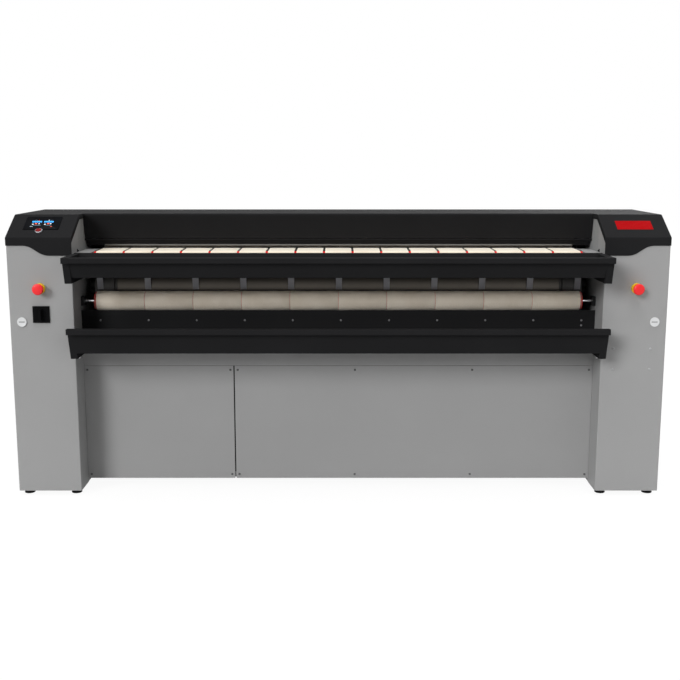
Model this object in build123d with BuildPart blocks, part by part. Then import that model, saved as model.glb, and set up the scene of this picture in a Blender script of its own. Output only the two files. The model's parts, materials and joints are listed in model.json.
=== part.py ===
from build123d import *
import os
from math import acos, atan, atan2, cos, degrees, hypot, pi, radians, sin

# Flatwork ironer: a heated roll wrapped by endless ironing bands, fed by belts at the top and delivering
# into trays at the front. Millimetres, +X to the operator's right, +Y to the back, +Z up, floor at Z = 0.
# Sections are written as (depth, height): depth behind the front face of the columns, height above the
# underside of the columns. Angles on a roller run from the back (0) over the top (90) to the front (180).

os.makedirs("parts", exist_ok=True)

# ---------------------------------------------------------------- driving dimensions
# Overall
overall_width = 2600.0
column_width = 256.5
column_depth = 563.0
column_height = 1110.0
foot_height = 20.0
foot_inset = 32.0
foot_wall_gap = 31.5
foot_depth = 45.0
tray_reach = 172.0
spigot_length = 60.0

# Sheet metal and clearances
casing_sheet = 1.5
cover_sheet = 2.0
bracket_sheet = 3.0
frame_plate = 5.0
bend_radius = 3.0
seat_gap = 0.2
soft_gap = 0.3
running_gap = 0.05

# Caps, casings and hood
cap_slope_drop = 80.0
cap_slope_depth = 138.0
cap_low_edge_drop = 153.0
cap_high_edge_drop = 114.0
cap_low_edge_inset = 170.0
cap_high_edge_inset = 65.0
cap_flange_drop = 20.0
cap_edge_radius = 6.0
cap_edge_chamfer = 3.0
casing_return = 118.0
casing_rear_return = 20.0
hood_front_depth = 209.0
hood_lip = (229.4, 1007.2)
frame_front_depth = 20.0

# Controls on the column fronts and on the left cap
estop_inset = 128.0
estop_height = 828.0
estop_collar_radius = 21.0
estop_head_radius = 22.0
estop_head_chamfer = 6.0
estop_stem_radius = 8.0
estop_travel = 4.0
estop_collar_length = 15.5
estop_length = 42.0
switch_height = 725.0
switch_plate_size = 66.0
switch_plate_depth = 6.0
switch_spindle_radius = 5.0
lock_inset = 50.0
lock_height = 695.0
lock_radius = 18.5
lock_neck_radius = 9.0
start_button_inset = 124.0
start_button_up_slope = 39.5
start_button_radius = 11.0
start_bezel_radius = 15.0
display_width = 140.0
display_length = 89.0
display_top_margin = 20.0

# Heated roll
roll_radius = 162.5
roll_wall = 10.0
roll_end_gap = 43.5
roll_edge_width = 93.0
roll_groove_width = 12.0
journal_radius = 38.0
journal_bore = 24.0
roll_bearing_size = 130.0
heater_circle_radius = 110.0
heater_radius = 8.0
heater_count = 6
heater_bar_radius = 16.0

# Ironing bands and their rollers
band_thickness = 2.6
delivery_roller_radius = 36.5
delivery_roller_centre = (144.0, 760.5)
delivery_nip_angle = 12.8
delivery_shaft_radius = 6.5
delivery_bearing_size = 37.0
band_roller_radius = 30.0
band_shaft_radius = 10.0
upper_nip_angle = 100.0
rear_roller_inset = 58.0
rear_roller_height = 1040.0
return_run = (361.0, -200.5)
bearing_size = 60.0
bearing_width = 13.0
tension_bracket_height = 100.0

# Feed belts and their rollers
feed_roller_radius = 35.0
feed_roller_centre = (105.0, 930.0)
feed_shaft_radius = 10.0
feed_drive_square = 14.0
nose_roller_radius = 15.0
nose_roller_centre = (228.0, 951.0)
nose_shaft_radius = 6.0
feed_belt_thickness = 1.8
feed_belt_end_gap = 12.4
feed_bracket_gap = 59.5
feed_bracket_top = 963.0
feed_bracket_low = 905.0

# Trays, stripper and guard
cheek_width = 26.5
tray_lip_height = 22.0
stripper_bar_size = 20.0
finger_count = 11
finger_end_margin = 22.5
finger_width = 25.0
finger_sheet = 1.2
guard_axis = (233.0, 1002.0)
guard_pin_radius = 4.0
guard_reach = 16.0
guard_drop = 24.8

# Toothed drive belt
belt_tooth_pitch = 8.0
roll_pulley_teeth = 128
feed_pulley_teeth = 28
motor_pulley_teeth = 32
drive_belt_width = 20.0
drive_belt_thickness = 3.0
drive_gap = 35.5
pulley_width = 24.0
motor_pulley_centre = (300.0, 400.0)
motor_hub_radius = 30.0
motor_radius = 56.0

# Exhaust fan and the connections at the back
fan_inset = 600.0
fan_width = 150.0
scroll_centre = (330.0, 250.0)
scroll_start_radius = 122.0
scroll_end_radius = 170.0
scroll_flats = 9
tongue_angle = -5.0
impeller_radius = 105.0
impeller_inlet_radius = 70.0
blade_count = 8
fan_hub_radius = 12.0
fan_motor_radius = 62.0
spigot_radius = 75.0
gland_height = 120.0
cable_entry_radius = 11.0
gland_body_radius = 16.0

# ---------------------------------------------------------------- derived places
front_y = -(column_depth + spigot_length - tray_reach) / 2
outer_x = overall_width / 2
inner_x = outer_x - column_width
foot_across = (outer_x - foot_inset, inner_x + foot_wall_gap)
foot_depths = (foot_depth, column_depth - foot_depth)
cap_slope_start = column_height - cap_slope_drop
cap_low_edge = column_height - cap_low_edge_drop
cap_high_edge = column_height - cap_high_edge_drop
cap_low_edge_end = outer_x - cap_low_edge_inset
cap_high_edge_start = outer_x - cap_high_edge_inset
estop_x = outer_x - estop_inset
switch_x = estop_x
lock_x = outer_x - lock_inset
start_button_x = outer_x - start_button_inset
roll_half_length = inner_x - roll_end_gap
polished_half_length = roll_half_length - roll_edge_width
finger_pitch = 2 * (roll_half_length - finger_end_margin) / (finger_count - 1)
rear_roller_centre = (column_depth - rear_roller_inset, rear_roller_height)
return_depth = rear_roller_centre[0] - delivery_roller_centre[0]
tension_roller_centre = (
    rear_roller_centre[0],
    delivery_roller_centre[1] + return_depth * return_run[1] / return_run[0],
)
feed_bracket_x = inner_x - feed_bracket_gap
feed_belt_half_width = feed_bracket_x - feed_belt_end_gap
drive_x = inner_x + drive_gap
fan_x = outer_x - fan_inset
casing_outer_x = outer_x - cover_sheet - seat_gap
frame_x = inner_x + casing_sheet + seat_gap
frame_back_x = frame_x + frame_plate
shaft_end = frame_x - 1.2
bearing_inner_x = frame_x - bearing_width
cap_inner_x = inner_x - cover_sheet - seat_gap
feed_shaft_opening = 3 * feed_shaft_radius
cap_front_depth = -cover_sheet - seat_gap
frame_rear_depth = column_depth - casing_sheet - seat_gap
cover_half_width = cap_inner_x - soft_gap
tray_half_width = cover_half_width
tray_inner_x = tray_half_width - cheek_width
slope_angle = degrees(atan((column_height - cap_slope_start) / cap_slope_depth))
slope_length = hypot(cap_slope_depth, column_height - cap_slope_start)


def slope_height(depth, inset=0.0):
    """Height at a depth of a line that lies inset under the cap's sloped face."""
    rise = (column_height - cap_slope_start) * depth / cap_slope_depth
    return cap_slope_start + rise - inset / cos(radians(slope_angle))


def slope_end(inset):
    """Depth at which the line inset under the slope meets the line inset under the top."""
    rise = column_height - cap_slope_start
    return cap_slope_depth * (column_height - inset - slope_height(0, inset)) / rise


def around(centre, radius, angle):
    """Point (depth, height) on a circle."""
    return (centre[0] + radius * cos(radians(angle)), centre[1] + radius * sin(radians(angle)))


nip_distance = band_thickness + 2 * soft_gap
roll_centre = around(
    delivery_roller_centre, roll_radius + delivery_roller_radius + nip_distance, delivery_nip_angle
)
upper_roller_centre = around(roll_centre, roll_radius + band_roller_radius + nip_distance, upper_nip_angle)

# Side sections hold (depth, height) and face +X, front sections hold (x, height) and face the operator,
# plan sections hold (x, depth) and face up.
side = Plane(origin=(0, front_y, foot_height), x_dir=(0, 1, 0), z_dir=(1, 0, 0))
front = Plane(origin=(0, front_y, foot_height), x_dir=(1, 0, 0), z_dir=(0, -1, 0))
plan = Plane(
    origin=(0, front_y, foot_height),
    x_dir=(1, 0, 0),
    z_dir=(0, 0, 1),
)


def slope_plane(x, up_slope):
    """Plane on the cap's sloped face: local x across, local y up the slope, facing out."""
    depth = up_slope * cos(radians(slope_angle))
    return Plane(
        origin=(x, front_y + depth, foot_height + slope_height(depth)),
        x_dir=(1, 0, 0),
        z_dir=(0, -sin(radians(slope_angle)), cos(radians(slope_angle))),
    )


# ---------------------------------------------------------------- helpers
def bent_sheet(points, thickness, x_from, x_to, radius=bend_radius):
    """Sheet bent along the mid-line points (depth, height), between two places along X."""
    with BuildPart() as sheet:
        with BuildSketch(side.offset(x_from)):
            with BuildLine():
                FilletPolyline(*points, radius=radius)
            trace(line_width=thickness)
        extrude(amount=x_to - x_from)
    return sheet.part


def side_prism(points, x_from, x_to):
    """Prism of a closed side section between two places along X."""
    with BuildPart() as prism:
        with BuildSketch(side.offset(x_from)):
            with BuildLine():
                Polyline(*points, close=True)
            make_face()
        extrude(amount=x_to - x_from)
    return prism.part


def side_tube(centre, radius, bore, x_from, x_to):
    """Round bar or, with a bore, a tube along X."""
    with BuildPart() as tube:
        with BuildSketch(side.offset(x_from)):
            with Locations(centre):
                Circle(radius)
                if bore:
                    Circle(bore, mode=Mode.SUBTRACT)
        extrude(amount=x_to - x_from)
    return tube.part


def front_tube(centre, radius, bore, depth_from, depth_to):
    """Round bar or ring along the depth, centred on (x, height)."""
    with BuildPart() as tube:
        with BuildSketch(front.offset(-depth_to)):
            with Locations(centre):
                Circle(radius)
                if bore:
                    Circle(bore, mode=Mode.SUBTRACT)
        extrude(amount=depth_to - depth_from)
    return tube.part


def save(label, shape):
    """Name a finished part and write its STEP file."""
    shape.label = label
    export_step(shape, f"parts/{label}.step")


# ---------------------------------------------------------------- columns
# Side frame: the welded plate that carries all the rollers, with the column's base plate.
with BuildPart() as right_side_frame:
    frame_top = column_height - cover_sheet - seat_gap
    with BuildSketch(side.offset(frame_x)):
        with BuildLine():
            Polyline(
                (frame_front_depth, 0),
                (frame_rear_depth, 0),
                (frame_rear_depth, frame_top - cap_edge_radius),
                (frame_rear_depth - cap_edge_radius, frame_top),
                (slope_end(cover_sheet + seat_gap), frame_top),
                (frame_front_depth, slope_height(frame_front_depth, cover_sheet + seat_gap)),
                close=True,
            )
        make_face()
        with Locations(roll_centre):
            RegularPolygon(journal_radius + 6, 12, mode=Mode.SUBTRACT)
        with Locations(feed_roller_centre):
            Rectangle(feed_shaft_opening, feed_shaft_opening, mode=Mode.SUBTRACT)
        with Locations(guard_axis):
            Circle(guard_pin_radius + running_gap, mode=Mode.SUBTRACT)
    extrude(amount=frame_plate)
    with BuildSketch(plan):
        with Locations(((frame_back_x + casing_outer_x - 4) / 2, column_depth / 2)):
            Rectangle(casing_outer_x - 4 - frame_back_x, column_depth - 2 * frame_front_depth)
    extrude(amount=4)
save("right_side_frame", right_side_frame.part)

with BuildPart() as left_side_frame:
    mirror(right_side_frame.part, about=Plane.YZ)
save("left_side_frame", left_side_frame.part)

# Casing: one folded sheet round the front and the outer side of the column.
with BuildPart() as right_column_casing:
    half_sheet = casing_sheet / 2
    casing_top = slope_height(cap_front_depth, cover_sheet + seat_gap)
    with BuildSketch(plan):
        with BuildLine():
            FilletPolyline(
                (inner_x + half_sheet, casing_return),
                (inner_x + half_sheet, half_sheet),
                (casing_outer_x - half_sheet, half_sheet),
                (casing_outer_x - half_sheet, column_depth - casing_sheet - half_sheet),
                (casing_outer_x - casing_rear_return, column_depth - casing_sheet - half_sheet),
                radius=(bend_radius, bend_radius, 0),
            )
        trace(line_width=casing_sheet)
    extrude(amount=casing_top)
    return_front = 2 * bend_radius
    with BuildSketch(side.offset(inner_x)):
        with BuildLine():
            Polyline(
                (return_front, casing_top),
                (casing_return, casing_top),
                (casing_return, slope_height(casing_return, cover_sheet + seat_gap)),
                (return_front, slope_height(return_front, cover_sheet + seat_gap)),
                close=True,
            )
        make_face()
    extrude(amount=casing_sheet)
    with BuildSketch(front.offset(-casing_sheet)):
        with Locations((lock_x, lock_height)):
            Circle(lock_neck_radius + running_gap)
    extrude(amount=casing_sheet, mode=Mode.SUBTRACT)
    with BuildSketch(side.offset(inner_x)):
        with Locations(feed_roller_centre):
            Rectangle(feed_shaft_opening, feed_shaft_opening)
    extrude(amount=casing_sheet, mode=Mode.SUBTRACT)
save("right_column_casing", right_column_casing.part)

with BuildPart() as left_column_casing:
    mirror(right_column_casing.part, about=Plane.YZ)
save("left_column_casing", left_column_casing.part)


# Cap: a folded lid with a sloped control face; its front apron is swept up towards the outside.
def cap_section(inset):
    """Face of the cap's side section, inset by a wall."""
    rear_depth = column_depth + cover_sheet + seat_gap
    with BuildSketch(side) as section:
        with BuildLine():
            FilletPolyline(
                (cap_front_depth + inset, cap_low_edge - 1),
                (cap_front_depth + inset, slope_height(cap_front_depth + inset, inset)),
                (slope_end(inset), column_height - inset),
                (rear_depth - inset, column_height - inset),
                (rear_depth - inset, cap_low_edge - 1),
                radius=cap_edge_radius - inset,
                close=False,
            )
            Line((rear_depth - inset, cap_low_edge - 1), (cap_front_depth + inset, cap_low_edge - 1))
        make_face()
    return section.sketch_local


with BuildPart() as right_cap:
    with BuildSketch(side.offset(cap_inner_x)):
        add(cap_section(0))
    extrude(amount=outer_x - cap_inner_x)
    with BuildSketch(side.offset(cap_inner_x + cover_sheet)):
        add(cap_section(cover_sheet))
    extrude(amount=casing_outer_x + seat_gap - cap_inner_x - cover_sheet, mode=Mode.SUBTRACT)
    # Open inner side, below its short flange
    with BuildSketch(side.offset(cap_inner_x)):
        with BuildLine():
            Polyline(
                (-seat_gap, cap_low_edge - 1),
                (-seat_gap, slope_height(0, cap_flange_drop)),
                (slope_end(cap_flange_drop), column_height - cap_flange_drop),
                (column_depth + seat_gap, column_height - cap_flange_drop),
                (column_depth + seat_gap, cap_low_edge - 1),
                close=True,
            )
        make_face()
    extrude(amount=cover_sheet, mode=Mode.SUBTRACT)
    # Lower edge: low at the inside, swept up to the outside
    with BuildSketch(front.offset(-column_depth)):
        with BuildLine():
            Line((cap_inner_x - 1, cap_low_edge - 2), (cap_inner_x - 1, cap_low_edge))
            Line((cap_inner_x - 1, cap_low_edge), (cap_low_edge_end, cap_low_edge))
            Spline(
                (cap_low_edge_end, cap_low_edge),
                (cap_high_edge_start, cap_high_edge),
                tangents=((1, 0), (1, 0)),
            )
            Line((cap_high_edge_start, cap_high_edge), (outer_x + 1, cap_high_edge))
            Line((outer_x + 1, cap_high_edge), (outer_x + 1, cap_low_edge - 2))
            Line((outer_x + 1, cap_low_edge - 2), (cap_inner_x - 1, cap_low_edge - 2))
        make_face()
    extrude(amount=column_depth + 2 * cover_sheet, mode=Mode.SUBTRACT)
    with BuildSketch(front.offset(-column_depth - 2 * cover_sheet)):
        with Locations(((cap_inner_x + outer_x) / 2, cap_low_edge)):
            Rectangle(column_width + 20, 2 * (cap_high_edge - cap_low_edge))
    extrude(amount=2 * cover_sheet + bend_radius, mode=Mode.SUBTRACT)
    outer_edges = right_cap.faces().sort_by(Axis.X)[-1].edges().sort_by(Axis.Z)[1:]
    chamfer(outer_edges, length=cap_edge_chamfer)
save("right_cap", right_cap.part)

with BuildPart() as left_cap:
    mirror(right_cap.part, about=Plane.YZ)
save("left_cap", left_cap.part)

# Base tubes between the columns and the levelling feet
with BuildPart() as base_tubes:
    with BuildSketch(side.offset(-inner_x - casing_sheet)):
        with Locations((145, 40), (535, 40)):
            Rectangle(40, 40)
            Rectangle(34, 34, mode=Mode.SUBTRACT)
    extrude(amount=2 * (inner_x + casing_sheet))
save("base_tubes", base_tubes.part)

foot_radius = 21.0
foot_pad = 8.0
foot_stem = 12.0
with BuildPart() as levelling_feet:
    foot_places = [(sign * x, depth) for sign in (-1, 1) for x in foot_across for depth in foot_depths]
    with BuildSketch(plan.offset(-foot_height)):
        with Locations(*foot_places):
            RegularPolygon(foot_radius, 8, rotation=22.5)
    extrude(amount=foot_pad)
    with BuildSketch(plan.offset(foot_pad - foot_height)):
        with Locations(*foot_places):
            Rectangle(foot_stem, foot_stem)
    extrude(amount=foot_height - foot_pad)
save("levelling_feet", levelling_feet.part)

# ---------------------------------------------------------------- panels and covers
panel_depth = casing_return + 0.5
panel_return = 6.2


def front_pan(x_from, x_to, low, high):
    """Flat panel with short returns all round, open at the back."""
    with BuildPart() as pan:
        with BuildSketch(front.offset(-panel_depth - panel_return)):
            with Locations(((x_from + x_to) / 2, (low + high) / 2)):
                Rectangle(x_to - x_from, high - low)
        extrude(amount=panel_return)
        with BuildSketch(front.offset(-panel_depth - panel_return)):
            with Locations(((x_from + x_to) / 2, (low + high) / 2)):
                Rectangle(x_to - x_from - 2 * casing_sheet, high - low - 2 * casing_sheet)
        extrude(amount=panel_return - casing_sheet, mode=Mode.SUBTRACT)
    return pan.part


panel_half_width = inner_x - 0.5
panel_joint_x = -428.0
panel_joint = 5.0
panel_low = 16.0
panel_high = 494.0
save("left_front_panel", front_pan(-panel_half_width, panel_joint_x - panel_joint / 2, panel_low, panel_high))
save("right_front_panel", front_pan(panel_joint_x + panel_joint / 2, panel_half_width, panel_low, panel_high))

header_high = 590.0
header_mid = panel_depth + casing_sheet / 2
front_header_rail = bent_sheet(
    [
        (header_mid + 20, panel_high + 2),
        (header_mid, panel_high + 2),
        (header_mid, header_high),
        (header_mid + 20, header_high),
    ],
    casing_sheet,
    -frame_x + soft_gap,
    frame_x - soft_gap,
    radius=0,
)
save("front_header_rail", front_header_rail)

# Hood: bent lid over the roll with a lip down to the finger guard and turned-down ends.
with BuildPart() as hood_cover:
    add(
        bent_sheet(
            [
                (column_depth + seat_gap + cover_sheet / 2, column_height - 25),
                (column_depth + seat_gap + cover_sheet / 2, column_height - cover_sheet / 2),
                (hood_front_depth, column_height - cover_sheet / 2),
                hood_lip,
            ],
            cover_sheet,
            -cover_half_width,
            cover_half_width,
            radius=2 * bend_radius,
        )
    )
    for end_x in (-cover_half_width, cover_half_width - cover_sheet):
        with BuildSketch(side.offset(end_x)):
            with BuildLine():
                Polyline(
                    (hood_front_depth + 12, column_height - cover_sheet),
                    (column_depth - 8, column_height - cover_sheet),
                    (column_depth - 8, column_height - 25),
                    (hood_front_depth + 16, column_height - 25),
                    close=True,
                )
            make_face()
        extrude(amount=cover_sheet)
save("hood_cover", hood_cover.part)

# Rear covers: a sill, a row of service plates with the cable entry and the flanged exhaust spigot, and
# the upper cover. They screw on edge to edge.
spigot_height = scroll_centre[1] - scroll_end_radius + fan_width / 2
flange_half = spigot_radius + 5
cover_half = casing_outer_x - seat_gap
cover_low = 10.0
cover_high = column_height - cap_flange_drop - 1
service_low = spigot_height - flange_half
service_high = spigot_height + flange_half
cover_seam = seat_gap


def back_panel(x_from, x_to, low, high):
    """Flat plate on the back of the machine."""
    with BuildPart() as panel:
        with BuildSketch(front.offset(-column_depth)):
            with Locations(((x_from + x_to) / 2, (low + high) / 2)):
                Rectangle(x_to - x_from, high - low)
        extrude(amount=casing_sheet)
    return panel.part


with BuildPart() as connection_plate:
    add(back_panel(-cover_half, -inner_x, service_low, service_high))
    with BuildSketch(front.offset(-column_depth)):
        with Locations((-estop_x, gland_height)):
            RegularPolygon(gland_body_radius + seat_gap, 6)
    extrude(amount=casing_sheet, mode=Mode.SUBTRACT)

with BuildPart() as exhaust_spigot:
    add(back_panel(fan_x - flange_half, fan_x + flange_half, service_low, service_high))
    with BuildSketch(front.offset(-column_depth)):
        with Locations((fan_x, spigot_height)):
            Circle(spigot_radius)
    extrude(amount=-spigot_length)
    with BuildSketch(front.offset(-column_depth - spigot_length)):
        with Locations((fan_x, spigot_height)):
            Circle(spigot_radius - cover_sheet)
    extrude(amount=spigot_length + casing_sheet, mode=Mode.SUBTRACT)

rear_covers = [
    back_panel(-cover_half, cover_half, cover_low, service_low - cover_seam),
    connection_plate.part,
    back_panel(-inner_x + cover_seam, fan_x - flange_half - cover_seam, service_low, service_high),
    exhaust_spigot.part,
    back_panel(fan_x + flange_half + cover_seam, cover_half, service_low, service_high),
    back_panel(-cover_half, cover_half, service_high + cover_seam, cover_high),
]
save("rear_cover", Compound(children=rear_covers))

# Apron in front of the feed belts
apron_half_width = inner_x - soft_gap
apron_top = 962.0
apron_low = 893.0
feed_apron = bent_sheet(
    [(59, apron_top), (35, apron_top), (9, apron_low)], cover_sheet, -apron_half_width, apron_half_width
)
save("feed_apron", feed_apron)

# ---------------------------------------------------------------- trays
upper_lip_depth = -tray_reach
upper_lip_top = 964.0
upper_tray = bent_sheet(
    [
        (22, 908),
        (22, 885),
        (-127, 885),
        (-150.5, upper_lip_top - tray_lip_height),
        (upper_lip_depth + 1, upper_lip_top - tray_lip_height + 1),
        (upper_lip_depth + 1, upper_lip_top - 1),
        (upper_lip_depth + 24, upper_lip_top - 1),
    ],
    cover_sheet,
    -tray_inner_x + seat_gap,
    tray_inner_x - seat_gap,
    radius=(0, bend_radius, 0, bend_radius, bend_radius),
)
save("upper_tray", upper_tray)

lower_lip_depth = -144.0
lower_lip_top = 688.0
lower_tray_back = 123.5
lower_tray = bent_sheet(
    [
        (lower_lip_depth + 24, lower_lip_top - 1),
        (lower_lip_depth + 1, lower_lip_top - 1),
        (lower_lip_depth + 1, lower_lip_top - tray_lip_height),
        (-119.5, lower_lip_top - tray_lip_height - 1),
        (-94, 586),
        (lower_tray_back, 600),
        (lower_tray_back, 640),
    ],
    cover_sheet,
    -tray_inner_x + seat_gap,
    tray_inner_x - seat_gap,
    radius=(bend_radius, bend_radius, 0, bend_radius, 0),
)
save("lower_tray", lower_tray)


def tray_cheeks(outline, pad_low, pad_high):
    """Pair of folded tray ends, open below, each with a pad on the casing's inner side."""
    with BuildPart() as cheek:
        add(side_prism(outline, tray_inner_x, tray_half_width))
        offset(amount=-cover_sheet, openings=cheek.faces().sort_by(Axis.Z)[0])
        add(
            side_prism(
                [(30, pad_low), (casing_return - 8, pad_low), (casing_return - 8, pad_high), (30, pad_high)],
                tray_half_width,
                inner_x - soft_gap,
            )
        )
        mirror(about=Plane.YZ)
    return cheek.part


upper_cheek_low = 862.0
upper_arm_high = 890.0
upper_tray_cheeks = tray_cheeks(
    [
        (upper_lip_depth, upper_lip_top - tray_lip_height),
        (upper_lip_depth, upper_lip_top),
        (5, upper_lip_top),
        (5, upper_arm_high),
        (casing_return, upper_arm_high),
        (casing_return, upper_cheek_low),
        (-126, upper_cheek_low),
        (-151, upper_lip_top - tray_lip_height - 1),
    ],
    upper_cheek_low,
    upper_arm_high,
)
save("upper_tray_cheeks", upper_tray_cheeks)

lower_cheek_low = 563.0
lower_tray_cheeks = tray_cheeks(
    [
        (lower_lip_depth, lower_lip_top - tray_lip_height),
        (lower_lip_depth, lower_lip_top),
        (lower_lip_depth + 24, lower_lip_top),
        (casing_return, 642),
        (casing_return, lower_cheek_low),
        (-86.5, lower_cheek_low),
        (-120, lower_lip_top - tray_lip_height - 1),
    ],
    lower_cheek_low + 20,
    lower_cheek_low + 60,
)
save("lower_tray_cheeks", lower_tray_cheeks)

outfeed_half_width = frame_x - soft_gap
outfeed_plate = bent_sheet(
    [(122.5, 724), (120, 700), (120, 604)], cover_sheet, -outfeed_half_width, outfeed_half_width
)
save("outfeed_plate", outfeed_plate)

# ---------------------------------------------------------------- heated roll
heated_roll = side_tube(
    roll_centre, roll_radius, roll_radius - roll_wall, -polished_half_length, polished_half_length
)
save("heated_roll", heated_roll)

# End cap: closed drum with its spigot in the tube, an open groove, a plain collar and a hollow journal.
roll_axis = Axis((0, front_y + roll_centre[0], foot_height + roll_centre[1]), (1, 0, 0))
roll_section = Plane(
    origin=(0, front_y + roll_centre[0], foot_height + roll_centre[1]), x_dir=(1, 0, 0), z_dir=(0, -1, 0)
)
journal_end = drive_x + pulley_width
collar_start = polished_half_length + roll_groove_width
spigot_start = polished_half_length - roll_groove_width
with BuildPart() as roll_end_caps:
    with BuildSketch(roll_section):
        with BuildLine():
            Polyline(
                (spigot_start, journal_bore),
                (journal_end, journal_bore),
                (journal_end, journal_radius),
                (roll_half_length, journal_radius),
                (roll_half_length, roll_radius),
                (collar_start, roll_radius),
                (collar_start, roll_radius - roll_wall),
                (spigot_start, roll_radius - roll_wall),
                close=True,
            )
        make_face()
    revolve(axis=roll_axis)
    mirror(about=Plane.YZ)
save("roll_end_caps", roll_end_caps.part)

with BuildPart() as roll_bearings:
    with BuildSketch(side.offset(frame_back_x)):
        with Locations(roll_centre):
            Rectangle(roll_bearing_size, roll_bearing_size)
            Circle(journal_radius + running_gap, mode=Mode.SUBTRACT)
    extrude(amount=bearing_width)
    mirror(about=Plane.YZ)
save("roll_bearings", roll_bearings.part)

# Heater bank: rods on two carriers round a bar that stands still inside the hollow journals, held at each
# end by an arm on a post of the side frame.
heater_bar_end = journal_end + 12
carrier_gap = 35.0
carrier_sheet = 4.0
carrier_x = spigot_start - carrier_gap
arm_height = 40.0
post_depth = roll_centre[0] + roll_radius + 25
post_width = 20.0
with BuildPart() as heater_bank:
    with BuildSketch(side.offset(-heater_bar_end)):
        with Locations(roll_centre):
            RegularPolygon(heater_bar_radius, 6)
    extrude(amount=2 * heater_bar_end)
    for carrier_from in (-carrier_x, carrier_x - carrier_sheet):
        with BuildSketch(side.offset(carrier_from)):
            with Locations(roll_centre):
                RegularPolygon(heater_circle_radius + 2 * heater_radius, heater_count)
        extrude(amount=carrier_sheet)
    with BuildSketch(side.offset(-carrier_x - 20)):
        with Locations(roll_centre):
            with PolarLocations(heater_circle_radius, heater_count):
                RegularPolygon(heater_radius, 4)
    extrude(amount=2 * (carrier_x + 20))
    for arm_from in (-heater_bar_end, heater_bar_end - frame_plate):
        with BuildSketch(side.offset(arm_from)):
            with Locations(((roll_centre[0] + post_depth) / 2, roll_centre[1])):
                Rectangle(post_depth - roll_centre[0] + 2 * post_width, arm_height)
        extrude(amount=frame_plate)
    for post_from in (-heater_bar_end, frame_back_x):
        with BuildSketch(side.offset(post_from)):
            with Locations((post_depth + post_width / 2, roll_centre[1])):
                Rectangle(post_width, arm_height)
        extrude(amount=heater_bar_end - frame_back_x)
save("heater_bank", heater_bank.part)


# ---------------------------------------------------------------- band and belt rollers
def roller(centre, radius, half_length, shaft_radius, shaft_from, shaft_to):
    """Roller with turned-down ends."""
    with BuildPart() as body:
        add(side_tube(centre, radius, 0, -half_length, half_length))
        add(side_tube(centre, shaft_radius, 0, shaft_from, shaft_to))
    return body.part


save(
    "delivery_roller",
    side_tube(
        delivery_roller_centre,
        delivery_roller_radius,
        delivery_shaft_radius,
        -roll_half_length,
        roll_half_length,
    ),
)
save(
    "delivery_roller_shaft",
    side_tube(delivery_roller_centre, delivery_shaft_radius, 0, -shaft_end, shaft_end),
)
for label, centre in (
    ("upper_band_roller", upper_roller_centre),
    ("rear_band_roller", rear_roller_centre),
    ("tension_roller", tension_roller_centre),
):
    save(
        label, roller(centre, band_roller_radius, roll_half_length, band_shaft_radius, -shaft_end, shaft_end)
    )

with BuildPart() as roller_bearings:
    with BuildSketch(side.offset(bearing_inner_x)):
        with Locations(delivery_roller_centre):
            Rectangle(delivery_bearing_size, delivery_bearing_size)
            Circle(delivery_shaft_radius + running_gap, mode=Mode.SUBTRACT)
        with Locations(upper_roller_centre, rear_roller_centre):
            Rectangle(bearing_size, bearing_size)
            Circle(band_shaft_radius + running_gap, mode=Mode.SUBTRACT)
    extrude(amount=bearing_width)
    mirror(about=Plane.YZ)
save("roller_bearings", roller_bearings.part)

with BuildPart() as tension_brackets:
    with BuildSketch(side.offset(bearing_inner_x)):
        with Locations(tension_roller_centre):
            Rectangle(bearing_size + 20, tension_bracket_height)
            Circle(band_shaft_radius + running_gap, mode=Mode.SUBTRACT)
    extrude(amount=bearing_width)
    mirror(about=Plane.YZ)
save("tension_brackets", tension_brackets.part)

# ---------------------------------------------------------------- ironing bands
# The bands leave the upper roller at its nip, wrap the back of the roll, come off at the delivery roller's
# nip and return below and behind the roll. Every stretch is tangent to the rollers at its ends.


def leaving_angle(start, start_radius, end, end_radius):
    """Angle where the outer tangent leaves the first roller of two that turn the same way."""
    run = degrees(atan2(end[1] - start[1], end[0] - start[0]))
    return run - degrees(acos((start_radius - end_radius) / hypot(end[0] - start[0], end[1] - start[1])))


def band_loop(layer):
    """Face inside the loop that runs a layer's height above the return rollers."""
    delivery_radius = delivery_roller_radius + layer
    return_radius = band_roller_radius + layer
    roll_side_radius = roll_radius + nip_distance - layer
    off_delivery = leaving_angle(
        delivery_roller_centre, delivery_radius, tension_roller_centre, return_radius
    )
    off_tension = leaving_angle(tension_roller_centre, return_radius, rear_roller_centre, return_radius)
    off_rear = leaving_angle(rear_roller_centre, return_radius, upper_roller_centre, return_radius)
    wraps = (
        (delivery_roller_centre, delivery_radius, delivery_nip_angle, off_delivery),
        (tension_roller_centre, return_radius, off_delivery, off_tension),
        (rear_roller_centre, return_radius, off_tension, off_rear),
        (upper_roller_centre, return_radius, off_rear, upper_nip_angle + 180),
    )
    with BuildSketch(side.offset(-roll_half_length)) as loop:
        with BuildLine():
            corner = None
            for centre, radius, first, last in wraps:
                if corner:
                    Line(corner, around(centre, radius, first))
                middle = first + (last - first) % 360 / 2
                ThreePointArc(
                    around(centre, radius, first),
                    around(centre, radius, middle),
                    around(centre, radius, last),
                )
                corner = around(centre, radius, last)
            roll_middle = (upper_nip_angle + delivery_nip_angle - 180) / 2
            ThreePointArc(
                corner,
                around(roll_centre, roll_side_radius, roll_middle),
                around(delivery_roller_centre, delivery_radius, delivery_nip_angle),
            )
        make_face()
    return loop.sketch_local


with BuildPart() as ironing_bands:
    with BuildSketch(side.offset(-roll_half_length)):
        add(band_loop(soft_gap + band_thickness))
        add(band_loop(soft_gap), mode=Mode.SUBTRACT)
    extrude(amount=2 * roll_half_length)
save("ironing_bands", ironing_bands.part)

# ---------------------------------------------------------------- feed table


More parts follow.
